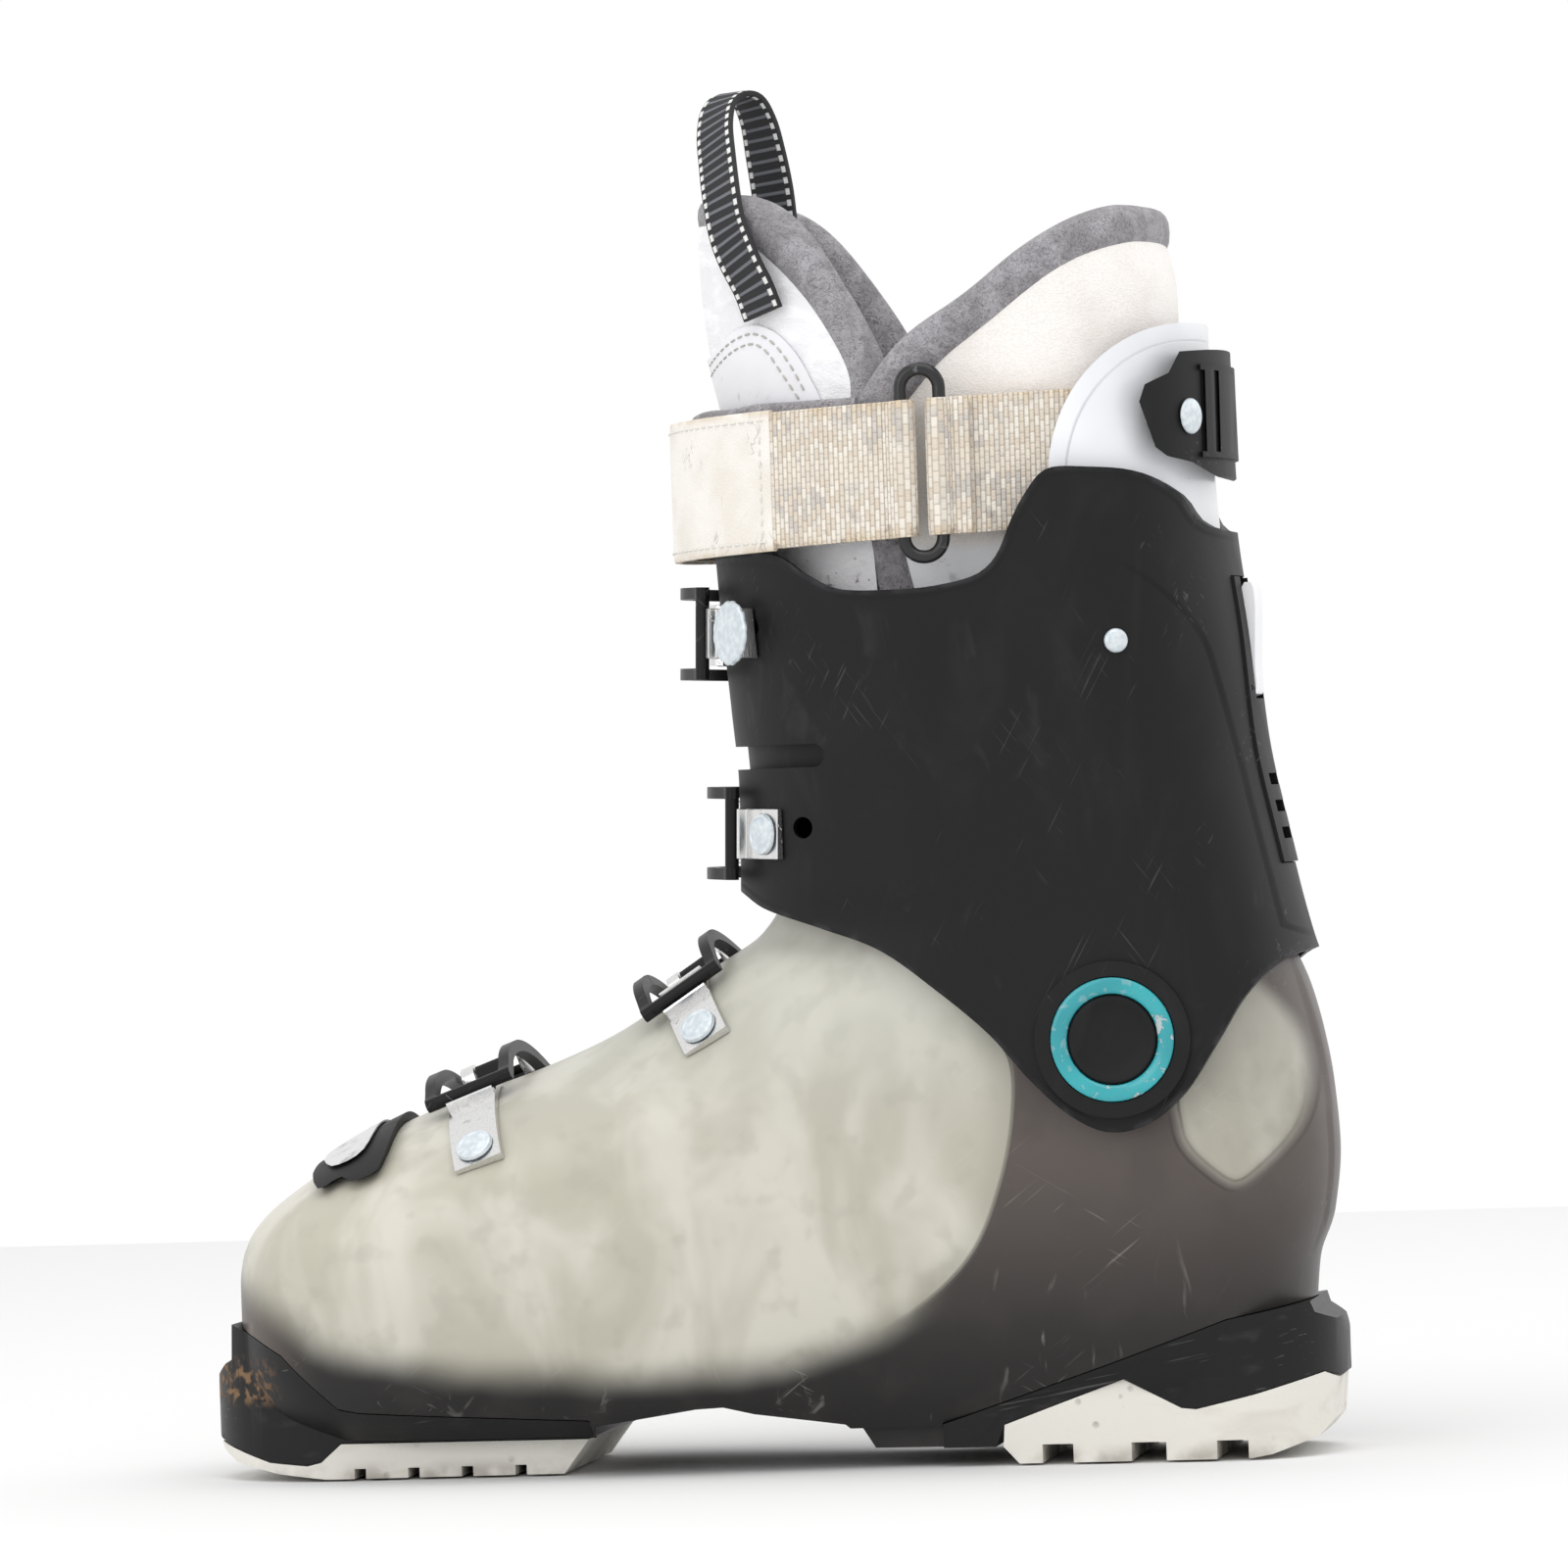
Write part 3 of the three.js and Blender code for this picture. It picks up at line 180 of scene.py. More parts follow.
class Finish:
    def __init__(self, name):
        self.material = bpy.data.materials.new(name)
        self.material.use_nodes = True
        self.tree = self.material.node_tree
        self.tree.nodes.clear()
        self.space = self.node("ShaderNodeTexCoord").outputs["Object"]

    def node(self, kind, settings=None, sockets=None):
        made = self.tree.nodes.new(kind)
        for key, value in (settings or {}).items():
            setattr(made, key, value)
        for key, value in (sockets or {}).items():
            if isinstance(value, Number):
                value = value.socket
            if isinstance(value, bpy.types.NodeSocket):
                self.tree.links.new(value, made.inputs[key])
            else:
                made.inputs[key].default_value = value
        return made

    def maths(self, operation, *values):
        made = self.node("ShaderNodeMath", {"operation": operation}, dict(enumerate(values)))
        return Number(self, made.outputs[0])

    def place(self):
        """Where the surface point lies, in millimetres: forward, inward and up."""
        parts = self.node("ShaderNodeSeparateXYZ", {}, {0: self.space})
        return [Number(self, parts.outputs[i]) * 1000 for i in range(3)]

    def scaled(self, size, stretch, space=None):
        factor = [1000 / (size * s) for s in stretch]
        made = self.node("ShaderNodeVectorMath", {"operation": "MULTIPLY"},
                         {0: space or self.space, 1: factor})
        return made.outputs[0]

    def noise(self, size, detail=3, stretch=(1, 1, 1), twist=0.0, space=None):
        sockets = {"Vector": self.scaled(size, stretch, space), "Scale": 1, "Detail": detail,
                   "Distortion": twist}
        return Number(self, self.node("ShaderNodeTexNoise", {}, sockets).outputs[0])

    def specks(self, size, stretch=(1, 1, 1), feature="F1", space=None):
        sockets = {"Vector": self.scaled(size, stretch, space), "Scale": 1}
        cells = self.node("ShaderNodeTexVoronoi", {"feature": feature}, sockets)
        return Number(self, cells.outputs["Distance"])

    def mark(self, name):
        return Number(self, self.node("ShaderNodeAttribute", {"attribute_name": name}).outputs["Fac"])

    def scratches(self, length, tilt, amount):
        """Straight hairlines, all leaning one way, kept to a few patches."""
        turned = self.node("ShaderNodeMapping", {}, {"Vector": self.space, "Rotation": (0, tilt, 0)})
        drawn = self.noise(0.7, 1, (1, 4, length), 0, turned.outputs[0])
        return drawn.rise(0.66, 0.74) * self.noise(24, 2).rise(0.58 - amount, 0.7 - amount)

    def blend(self, factor, low, high):
        """Colour low where factor is 0 and high where it is 1."""
        made = self.node("ShaderNodeMix", {"data_type": "RGBA"}, {"Factor": factor, 6: low, 7: high})
        return made.outputs[2]

    def done(self, colour, rough, height=None, metal=0.0, coat=None, **fixed):
        """Closes the finish. height is in millimetres; fixed values go straight on the shader."""
        sockets = {"Base Color": colour, "Roughness": rough, "Metallic": metal}
        if coat is not None:
            sockets["Coat Weight"] = coat
        if height is not None:
            bump = self.node("ShaderNodeBump", {}, {"Height": height, "Distance": 0.001, "Strength": 1})
            sockets["Normal"] = bump.outputs[0]
        sockets.update({key.replace("_", " "): value for key, value in fixed.items()})
        shader = self.node("ShaderNodeBsdfPrincipled", {}, sockets)
        end = self.node("ShaderNodeOutputMaterial")
        self.tree.links.new(shader.outputs[0], end.inputs[0])
        return self.material


print("shader tools ready")

# %% [markdown]
# ## Sections
# Hard boot plastic is moulded round a last, so every level cut through it is a rounded loop: a blunt
# toe, nearly straight sides and a round heel. A superellipse end, a side width that eases from heel to
# forefoot and curves for how these change with height describe the whole form. Sculpting would reach
# the same shape, but numbers keep shell, cuff and liner nested at true wall thickness.


# %% Curves and loops, in millimetres
def curve(*pairs):
    """Smooth curve through (at, value) pairs that never overshoots them."""
    at = [p[0] for p in pairs]
    value = [p[1] for p in pairs]
    last = len(pairs) - 1
    slope = [(value[i + 1] - value[i]) / (at[i + 1] - at[i]) for i in range(last)]
    mean = lambda a, b: 0 if a * b <= 0 else 2 * a * b / (a + b)
    lean = [slope[0], *[mean(slope[i - 1], slope[i]) for i in range(1, last)], slope[-1]]

    def read(t):
        if t <= at[0]:
            return value[0] + lean[0] * (t - at[0])
        if t >= at[-1]:
            return value[-1] + lean[-1] * (t - at[-1])
        i = next(k for k in range(last) if at[k + 1] > t)
        h = at[i + 1] - at[i]
        u = (t - at[i]) / h
        return ((1 + 2 * u) * (1 - u) ** 2 * value[i] + u * (1 - u) ** 2 * h * lean[i]
                + u * u * (3 - 2 * u) * value[i + 1] + u * u * (u - 1) * h * lean[i + 1])

    return read


def ease(t):
    u = np.clip(t, 0, 1)
    return u * u * (3 - 2 * u)


def toe_skew(x):
    """A right boot's toe leans to the inner side."""
    return 6 * np.maximum(0, (np.asarray(x, float) - 20) / 120) ** 1.5


def reach(s, x):
    """How much of the side width is left at x, from 1 along the sides to 0 at both ends."""
    x = np.asarray(x, float)
    front = np.clip((x - (s["front"] - s["front_cap"])) / s["front_cap"], 0, 1)
    rear = np.clip((s["back"] + s["back_cap"] - x) / s["back_cap"], 0, 1)
    return ((1 - front ** s["front_power"]) ** (1 / s["front_power"])
            * (1 - rear ** s["back_power"]) ** (1 / s["back_power"]))


def side_y(s, x):
    return s["half"](np.asarray(x, float)) * reach(s, x)


def loop(s, z, detail=(30, 22, 24), relief=None):
    """Closed ring of points round a section at height z, pushed out by relief(x, z) millimetres."""
    a = np.linspace(0, math.pi / 2, detail[0] + 1)
    xs = [s["front"] - s["front_cap"] * (1 - np.cos(a) ** (2 / s["front_power"]))]
    start, stop = s["front"] - s["front_cap"], s["back"] + s["back_cap"]
    xs.append(np.linspace(start, stop, detail[1] + 1)[1:-1])
    b = np.linspace(math.pi / 2, 0, detail[2] + 1)
    xs.append(s["back"] + s["back_cap"] * (1 - np.cos(b) ** (2 / s["back_power"])))
    x = np.concatenate(xs)
    y = side_y(s, x)
    y[0] = y[-1] = 0
    ring = np.stack([np.concatenate([x, x[-2:0:-1]]), np.concatenate([y, -y[-2:0:-1]])], 1)
    if relief is not None:
        along = np.roll(ring, -1, 0) - np.roll(ring, 1, 0)
        out = np.stack([-along[:, 1], along[:, 0]], 1)
        out /= np.linalg.norm(out, axis=1)[:, None] + 1e-9
        out *= np.sign((out * (ring - ring.mean(0))).sum(1))[:, None]
        ring = ring + out * relief(ring[:, 0], z, ring[:, 1])[:, None]
    ring[:, 1] += toe_skew(ring[:, 0])
    return np.column_stack([ring, np.full(len(ring), float(z))])


# %% [markdown]
# ## Solids
# Loops stacked and capped make a closed body; an outline drawn from the side and pushed across makes a
# cutter. Boolean modifiers join and cut them, as a mould is machined. The outline's corners are rounded
# by a spline first, because a moulded edge has no kinks.


# %% Bodies from loops and outlines
def form(points, faces):
    made = bpy.data.meshes.new("form")
    made.from_pydata(np.asarray(points, float).tolist(), [], faces)
    return made


def loft(rings):
    n = len(rings[0])
    m = len(rings)
    faces = [(i * n + j, i * n + (j + 1) % n, (i + 1) * n + (j + 1) % n, (i + 1) * n + j)
             for i in range(m - 1) for j in range(n)]
    faces += [(m * n, (j + 1) % n, j) for j in range(n)]
    faces += [(m * n + 1, (m - 1) * n + j, (m - 1) * n + (j + 1) % n) for j in range(n)]
    centres = [np.mean(rings[0], 0), np.mean(rings[-1], 0)]
    return form(np.vstack([*rings, *centres]), faces)


def body(section, inset, low, high, step=2.0, **more):
    heights = np.linspace(low, high, max(2, int(round((high - low) / step)) + 1))
    return loft([loop(section(z, inset), z, **more) for z in heights])


def spline(points, closed=False, step=2.0):
    """Points every few millimetres on a smooth line through the given ones."""
    p = np.asarray(points, float)
    p = np.vstack([p[-1:], p, p[:2]]) if closed else np.vstack([2 * p[0] - p[1], p, 2 * p[-1] - p[-2]])
    made = []
    for i in range(1, len(p) - 2):
        knots = [0.0]
        for k in range(3):
            knots.append(knots[-1] + max(1e-6, np.linalg.norm(p[i + k] - p[i + k - 1])) ** 0.5)
        count = max(1, int(np.linalg.norm(p[i + 1] - p[i]) / step))
        for t in np.linspace(knots[1], knots[2], count, endpoint=False):
            def mid(a, b, ta, tb):
                return a * (tb - t) / (tb - ta) + b * (t - ta) / (tb - ta)
            a1 = mid(p[i - 1], p[i], knots[0], knots[1])
            a2 = mid(p[i], p[i + 1], knots[1], knots[2])
            a3 = mid(p[i + 1], p[i + 2], knots[2], knots[3])
            b1 = mid(a1, a2, knots[0], knots[2])
            b2 = mid(a2, a3, knots[1], knots[3])
            made.append(mid(b1, b2, knots[1], knots[2]))
    if not closed:
        made.append(p[-2])
    return np.array(made)


def prism(outline, low=-90.0, high=90.0):
    """Side outline of (x, z) points pushed across the boot."""
    p = np.asarray(outline, float)
    n = len(p)
    turn_way = np.sum(p[:, 0] * np.roll(p[:, 1], -1) - np.roll(p[:, 0], -1) * p[:, 1])
    if turn_way > 0:
        p = p[::-1]
    near = np.column_stack([p[:, 0], np.full(n, low), p[:, 1]])
    far = np.column_stack([p[:, 0], np.full(n, high), p[:, 1]])
    faces = [(j, (j + 1) % n, n + (j + 1) % n, n + j) for j in range(n)]
    return form(np.vstack([near, far]), [*faces, tuple(range(n - 1, -1, -1)), tuple(range(n, 2 * n))])


def block(x0, x1, y0, y1, z0, z1):
    return prism([(x0, z0), (x1, z0), (x1, z1), (x0, z1)], y0, y1)


def disc(x, z, radius, low, high, sides=48):
    a = np.linspace(0, 2 * math.pi, sides, endpoint=False)
    return prism(np.column_stack([x + radius * np.cos(a), z + radius * np.sin(a)]), low, high)


def boolean(first, second, operation):
    one = bpy.data.objects.new("one", first)
    two = bpy.data.objects.new("two", second)
    world.collection.objects.link(one)
    world.collection.objects.link(two)
    step = one.modifiers.new("step", "BOOLEAN")
    step.solver = "MANIFOLD"
    step.operation = operation
    step.object = two
    graph = bpy.context.evaluated_depsgraph_get()
    made = bpy.data.meshes.new_from_object(one.evaluated_get(graph))
    bpy.data.objects.remove(one)
    bpy.data.objects.remove(two)
    return made


def cut(first, *others):
    for other in others:
        first = boolean(first, other, "DIFFERENCE")
    return first


def keep(first, second):
    return boolean(first, second, "INTERSECT")


def join(first, *others):
    for other in others:
        first = boolean(first, other, "UNION")
    return first


def mirrored(mesh):
    made = mesh.copy()
    made.transform(Matrix.Scale(-1, 4, (0, 1, 0)))
    made.flip_normals()
    return made


# %% [markdown]
# ## From form to piece
# A piece takes its form in millimetres, scales it to metres, shades smooth across the moulded curves
# and keeps edges sharper than its limit. It rides on one body of the frame, and hides the plain solid
# that it stands for. A small bevel catches light on hard edges, which bare edges never do.


# %% Finished pieces
def coordinates(mesh):
    co = np.empty(len(mesh.vertices) * 3)
    mesh.vertices.foreach_get("co", co)
    return co.reshape(-1, 3)


def piece(name, mesh, rides, finish, stands_for=(), sharp=35, bevel=0.0, marks=None):
    made = bpy.data.objects.new(name, mesh)
    world.collection.objects.link(made)
    for label, function in (marks or {}).items():
        layer = mesh.attributes.new(label, "FLOAT", "POINT")
        layer.data.foreach_set("value", np.asarray(function(coordinates(mesh)), float))
    mesh.transform(Matrix.Scale(0.001, 4))
    mesh.materials.clear()
    mesh.materials.append(finish)
    mesh.shade_smooth()
    mesh.set_sharp_from_angle(angle=math.radians(sharp))
    if bevel:
        soften = made.modifiers.new("edges", "BEVEL")
        soften.width = bevel * 0.001
        soften.segments = 2
        soften.limit_method = "ANGLE"
        soften.angle_limit = math.radians(40)
        soften.harden_normals = True
    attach(made, rides)
    if stands_for:
        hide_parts(*([stands_for] if isinstance(stands_for, str) else stands_for))
    print(name + ":", len(mesh.polygons), "faces")
    return made


def inside(outline):
    """Mark: millimetres inside a side outline, negative outside it."""
    p = np.asarray(outline, float)
    q = np.roll(p, -1, 0)

    def read(co):
        x, z = co[:, 0:1], co[:, 2:3]
        e = q - p
        t = np.clip(((x - p[:, 0]) * e[:, 0] + (z - p[:, 1]) * e[:, 1]) / (e ** 2).sum(1), 0, 1)
        far = np.hypot(x - p[:, 0] - t * e[:, 0], z - p[:, 1] - t * e[:, 1]).min(1)
        crossing = (p[:, 1] > z) != (q[:, 1] > z)
        where = (q[:, 0] - p[:, 0]) * (z - p[:, 1]) / (q[:, 1] - p[:, 1] + 1e-12) + p[:, 0]
        held = (crossing & (x < where)).sum(1) % 2
        return np.where(held, far, -far)

    return read


print("form tools ready")

# %% [markdown]
# ## The smoked shell's finish
# The lower shell is milky, see-through plastic that turns smoky brown and then black towards the sole
# and heel. Real volume light would be slow and would not export, so the milk and the smoke are surface
# colours, mixed by the distance to a window outline: soft along its bottom, a crisp line at the ankle.


# %% Shell finish
def smoked_plastic():
    f = Finish("smoked_plastic")
    x, _, z = f.place()
    window, ankle = f.mark("window"), f.mark("ankle")
    groove = (ankle - 0.6).line(0.8, 1.1) * z.rise(104, 88)
    rear = x.rise(-28, -54)
    soft = (window + (f.noise(34, 2) - 0.5) * 8).rise(-6, 8)
    light = soft * (1 - rear) + window.rise(-0.5, 1.2) * (0.8 + 0.2 * window.rise(0, 9)) * rear
    heel_light = ankle.rise(-1, 4) * 0.75
    cloud = f.noise(26, 3, (1, 1, 1.8), 0.6)
    milk = f.blend(cloud.rise(0.36, 0.62), tone(181, 178, 163), tone(203, 200, 188))
    milk = f.blend(f.noise(9, 2).rise(0.52, 0.7) * 0.35, milk, tone(166, 163, 150))
    milk = f.blend(z.rise(76, 118) * 0.35, milk, tone(186, 187, 180))
    smoke = f.blend(z.rise(22, 88), tone(30, 28, 28), tone(88, 80, 76))
    smoke = f.blend(f.noise(18, 3).rise(0.45, 0.7) * 0.3, smoke, tone(62, 56, 54))
    toe_tint = x.rise(112, 134) * z.rise(58, 44) * (1 - light)
    smoke = f.blend(toe_tint * 0.5, smoke, tone(112, 100, 92))
    colour = f.blend(light.most(heel_light), smoke, milk)
    fine = f.scratches(40, 0.9, 0.05) + f.scratches(25, 2.1, 0.02)
    rub = f.noise(7, 5, (1, 1, 3), 1.2).rise(0.63, 0.8) * z.rise(70, 30)
    colour = f.blend((fine * 0.15 + rub * 0.25).least(0.6), colour, tone(206, 202, 196))
    rough = 0.36 + f.noise(12, 3) * 0.12 + fine * 0.2
    height = f.noise(1.6, 2) * 0.02 - groove * 0.7 - window.line(0.2, 0.7) * rear * 0.3
    return f.done(colour, rough, height, coat=0.08 + rub * 0.1, Specular_IOR_Level=0.32)


def hard_black(name, shade=(25, 25, 26), rough=0.5, edge=0.2):
    """Moulded black plastic with a fine spark texture, faint smears and hairline scratches."""
    f = Finish(name)
    grain = f.noise(0.55, 3)
    smear = f.noise(24, 4, (1, 1, 2.2), 1.4).rise(0.5, 0.78)
    fine = f.scratches(35, 0.7, 0.05) + f.scratches(20, 2.3, 0.03)
    colour = f.blend(smear * 0.55, tone(*shade), tone(*[c + 15 for c in shade]))
    colour = f.blend((fine * edge * 0.6).least(0.5), colour, tone(150, 150, 152))
    height = grain * 0.035 - fine * 0.03
    return f.done(colour, rough + smear * 0.1 - fine * 0.1, height, Specular_IOR_Level=0.18)


smoked = smoked_plastic()
black = hard_black("moulded_black")
print("finishes: smoked plastic and moulded black")

# %% [markdown]
# ## Lower shell
# The shell, or clog, is one injection moulding that opens over the instep, where a flap slides under
# the other side. It is a loft of rounded loops, cut along its parting lines with the sole blocks and
# hollowed by a smaller loft, which leaves a true wall at the rim. A subdivision cage could give the
# same skin, but the loft keeps every level at its measured width.

# %% Shell sections
GAP = 0.3
shell_front = curve([10, 134], [20, 139], [30, 141.2], [50, 141.2], [56, 140.6], [62, 138.6], [68, 134],
                    [74, 126.5], [80, 117.6], [86, 107.5], [92, 95], [98, 79], [104, 61], [112, 42],
                    [120, 28.5], [130, 13], [137, 2], [144.4, -3.6], [156, -9], [166, -14])
shell_back = curve([10, -137], [20, -139.5], [40, -140.7], [50, -141.8], [62, -145.5], [78, -147.3],
                   [95, -146.2], [114, -142.9], [120, -141.5], [126, -139.2], [134, -134.9],
                   [142, -128.5], [150, -118.8])
shell_forefoot = curve([10, 40], [20, 50], [30, 54], [45, 55.5], [60, 54.5], [75, 52], [90, 49.5],
                       [105, 47.2], [120, 46], [135, 44.6], [166, 43])
shell_heel = curve([10, 32], [20, 35.5], [30, 37.5], [45, 39.8], [60, 41], [90, 42.8], [110, 43.5],
                   [166, 43])
shell_front_cap = curve([10, 60], [56, 64], [74, 74], [90, 92], [104, 95], [120, 82], [140, 64], [166, 56])
shell_power = curve([10, 2.3], [50, 2.3], [74, 2.1], [98, 1.85], [120, 1.85], [166, 2])


def shell_at(z, inset=0.0):
    """Section of the shell moved in by inset, at right angles to its top line."""
    level, slant = z, 1.0
    for _ in range(4):
        lean = shell_front(level + 0.5) - shell_front(level - 0.5)
        slant = 1 / math.hypot(1, lean)
        level = z - inset * lean * slant
    forefoot, heel = shell_forefoot(z), shell_heel(z)
    return {"front": shell_front(level) - inset * slant, "back": shell_back(z) + inset,
            "front_cap": shell_front_cap(level) - 0.6 * inset, "back_cap": 37 - 0.5 * inset,
            "front_power": shell_power(level), "back_power": 2.1,
            "half": lambda x: heel + (forefoot - heel) * ease((x + 75) / 120) - inset}


TOE_PARTING = [[141.2, 40.2], [132, 36.5], [124.3, 32.7], [109.2, 18.6], [104, 17.6], [44, 14]]
HEEL_PARTING = [[-46.5, 10.5], [-51.6, 12.1], [-91, 25.2], [-109, 31.5], [-120.4, 35.5], [-141, 39.2]]
WINDOW = spline([[150, 56], [137, 50], [125, 43], [112, 34.5], [99, 30], [83, 28], [54, 25.2],
                 [18, 26], [-21, 31], [-42, 40.7], [-56.5, 54.3], [-64.5, 72], [-68.5, 90],
                 [-68.5, 104], [-64, 112]]).tolist() + [[-64, 190], [150, 190]]
HEEL_WINDOW = spline([[-131, 124], [-140, 112], [-143, 103], [-143.5, 93], [-141, 84], [-133, 74.5],
                      [-124.8, 69.2], [-116.9, 74], [-111, 81], [-109, 90]]).tolist() + [[-108, 130]]
print("window outline:", len(WINDOW), "points")


# %% Shell body
def shell_relief(x, z, y):
    """Broad moulded shapes: a hollow round the heel window and a rib down the back."""
    hollow = ease((x + 150) / 14) * ease((-104 - x) / 12) * ease((z - 66) / 12) * ease((132 - z) / 14)
    rib = ease((-138 - x) / 6) * ease((z - 48) / 10) * ease((124 - z) / 14) * (np.abs(y) < 9)
    return -1.1 * hollow * (np.abs(y) > 10) + 0.5 * rib


def shell_body():
    outer = body(shell_at, 0, 10, 160, 1.6, relief=shell_relief, detail=(44, 46, 40))
    edge = [[160, 40.5], *[[x, z + GAP] for x, z in TOE_PARTING], [43.7, 9], [42.5, 12.5], [16, 16.5],
            [9, 16.8], [1.3, 14.7], [-21.4, 11.1], [-28.2, 4.5], [-46.2, 4.4], [-46.2, 10.8],
            *[[x, z + GAP] for x, z in HEEL_PARTING[1:]], [-160, 39.5], [-160, 142.5], [-118, 142.5],
            [-60, 150], [-38, 152.5], [-25, 156], [-18, 158], [40, 158], [160, 110]]
    foot = prism([(-28.2, 4.5), (-46.2, 4.4), (-46.2, 16), (-21, 16)], -30, 30)
    core = body(shell_at, 3.0, 18.2, 52, 6)
    inner = body(shell_at, 5.0, 21, 162, 4)
    shape = cut(join(keep(join(outer, foot), prism(edge)), core), inner)
    sheet = cut(body(shell_at, 4.5, 70, 162, 4), body(shell_at, 7.4, 66, 164, 4))
    sheet = keep(sheet, prism([(88, 66), (88, 160), (-18, 158), (-40, 151), (-40, 95)]))
    tip = keep(keep(sheet.copy(), block(-40, 88, -15.4, 12, 60, 157)), body(shell_at, 5.5, 64, 163, 4))
    root = keep(sheet, block(-40, 88, -32, -15.2, 60, 157))
    slit = cut(body(shell_at, -1, 66, 163, 4), body(shell_at, 5.5, 64, 164, 4))
    shape = cut(join(shape, root, tip), keep(slit, block(-40, 84, -15.2, -14.2, 84, 170)))
    return cut(shape, disc(-95.5, 108.6, 5.3, -70, 70))


shell_marks = {"window": inside(WINDOW), "ankle": inside(HEEL_WINDOW)}
shell = piece("clog", shell_body(), "shell", smoked, "lower_shell", 38, marks=shell_marks)

# %% [markdown]
# ## Sole
# Black end blocks carry the ledges that a ski binding grips, and pale rubber treads take the wear. They
# share the shell's own loft, so they are cut from it with their side outlines; modelling them apart
# would leave steps at the parting lines.


# %% Sole finishes
def tread_rubber():
    """Pale rubber, darkened by dirt near the ground and in small pits."""
    f = Finish("tread_rubber")
    _, _, z = f.place()
    low = z.rise(5.5, 0) * f.noise(9, 4).rise(0.35, 0.65)
    pits = f.specks(5).rise(0.24, 0.1) * f.noise(14, 2).rise(0.5, 0.7)
    smear = f.noise(16, 5, (2, 1, 1), 1).rise(0.52, 0.72)
    colour = f.blend(smear * 0.5, tone(224, 221, 213), tone(200, 194, 183))
    colour = f.blend((low * 0.55 + pits * 0.6).least(0.8), colour, tone(122, 113, 101))
    return f.done(colour, 0.62 + low * 0.2, f.noise(0.8, 3) * 0.08 - pits * 0.2)


def black_sole():
    """Black sole plastic with dried mud on the toe ledge and pale rubs along the rim."""
    f = Finish("black_sole")
    x, y, z = f.place()
    fine = f.scratches(45, 1.4, 0.08)
    rub = f.noise(6, 5, (3, 1, 1)).rise(0.58, 0.75) * 0.5
    colour = f.blend(rub, tone(22, 22, 23), tone(58, 56, 55))
    mud = (x.rise(124, 133) * y.rise(2, 20) * z.rise(18, 22) * z.rise(33, 28)
           * f.noise(2.6, 5).rise(0.47, 0.62))
    colour = f.blend(mud * 0.85, colour, tone(134, 106, 80))
    colour = f.blend(fine * 0.2, colour, tone(150, 148, 145))
    return f.done(colour, 0.42 + rub * 0.3 + mud * 0.4, f.noise(0.9, 3) * 0.05 + mud * 0.35,
                  Specular_IOR_Level=0.25)


tread = tread_rubber()
sole_black = black_sole()
print("finishes: tread rubber and black sole")

# %% Sole blocks
TOE_PAD = [[146.2, 9.4], [130.5, 4.4], [120, 3.5], [116.2, 4.4], [110.8, 9.1], [46, 8.8], [52.7, 0],
           [115, 0], [128, 1.5], [140.8, 4.4], [145.5, 7.6]]
HEEL_PAD = [[-62.4, 10], [-75.6, 14.7], [-93.5, 21], [-108.2, 13.3], [-112, 12.9], [-127.3, 16.3],
            [-143.8, 20.8], [-147, 18.9], [-145.7, 8.5], [-142.1, 4.5], [-131, 0.8], [-126, 0],
            [-66, 0], [-62, 4.4]]


def sole_slab():
    section = {"front": 148.65, "back": -148.65, "front_cap": 42, "back_cap": 34, "front_power": 2.2,
               "back_power": 2.2, "half": lambda x: 34.5 + 0 * x}
    return body(lambda z, inset: section, 0, -1, 45, 46)


def sole_block(outline):
    outer = join(body(shell_at, 0, 10, 60, 2), sole_slab())
    return cut(keep(outer, prism(outline)), body(shell_at, 2.7, 17.9, 52, 6))


def sole_pad(outline, grooves):
    pad = keep(sole_slab(), prism(outline))
    return cut(pad, *[block(x0, x1, -50, 50, -1, top) for x0, x1, top in grooves])


toe_edge = [*TOE_PARTING[::-1], [141.6, 31], [144, 29.8], [147.5, 26.5], [148.6, 20], [148.6, 13],
            [147.4, 10.4], *[[x, z + GAP] for x, z in TOE_PAD[1:5]], [44, 9.1]]
heel_edge = [*HEEL_PARTING, [-142, 36.4], [-146.9, 34.1], [-148.6, 30.5], [-148.4, 20], [-147.6, 19.4],
             *[[x, z + GAP] for x, z in HEEL_PAD[6::-1]], [-60, 4.4], [-46.5, 4.4]]
piece("toe_block", sole_block(toe_edge), "shell", sole_black, "toe_sole_block", 35)
piece("heel_block", sole_block(heel_edge), "shell", sole_black, "heel_sole_block", 35)
toe_cuts = [(x - 1.5, x + 1.5, 2.6) for x in (64, 78, 92, 106)]
heel_cuts = [(-80, -72, 4.8), (-104, -95, 4.8), (-125, -117, 4.8)]
piece("toe_tread", sole_pad(TOE_PAD, toe_cuts), "shell", tread, "toe_sole_pad", 30, 0.6)
heel_tread = cut(sole_pad(HEEL_PAD, heel_cuts), body(shell_at, 2.7, 17.9, 52, 6))
piece("heel_tread", heel_tread, "shell", tread, "heel_sole_pad", 30, 0.6)

# %% [markdown]
# ## Toe guard
# A thin black shield protects the toe from the binding, with a grey inset let into it. Both are slices
# of the shell's loft moved out by their thickness, so they lie exactly on the toe.


# %% Toe guard
def soft_grey():
    f = Finish("grey_inset")
    worn = f.noise(5, 4).rise(0.5, 0.75)
    colour = f.blend(worn, tone(203, 204, 203), tone(158, 158, 157))
    return f.done(colour, 0.42 + worn * 0.2, f.noise(0.7, 2) * 0.03)


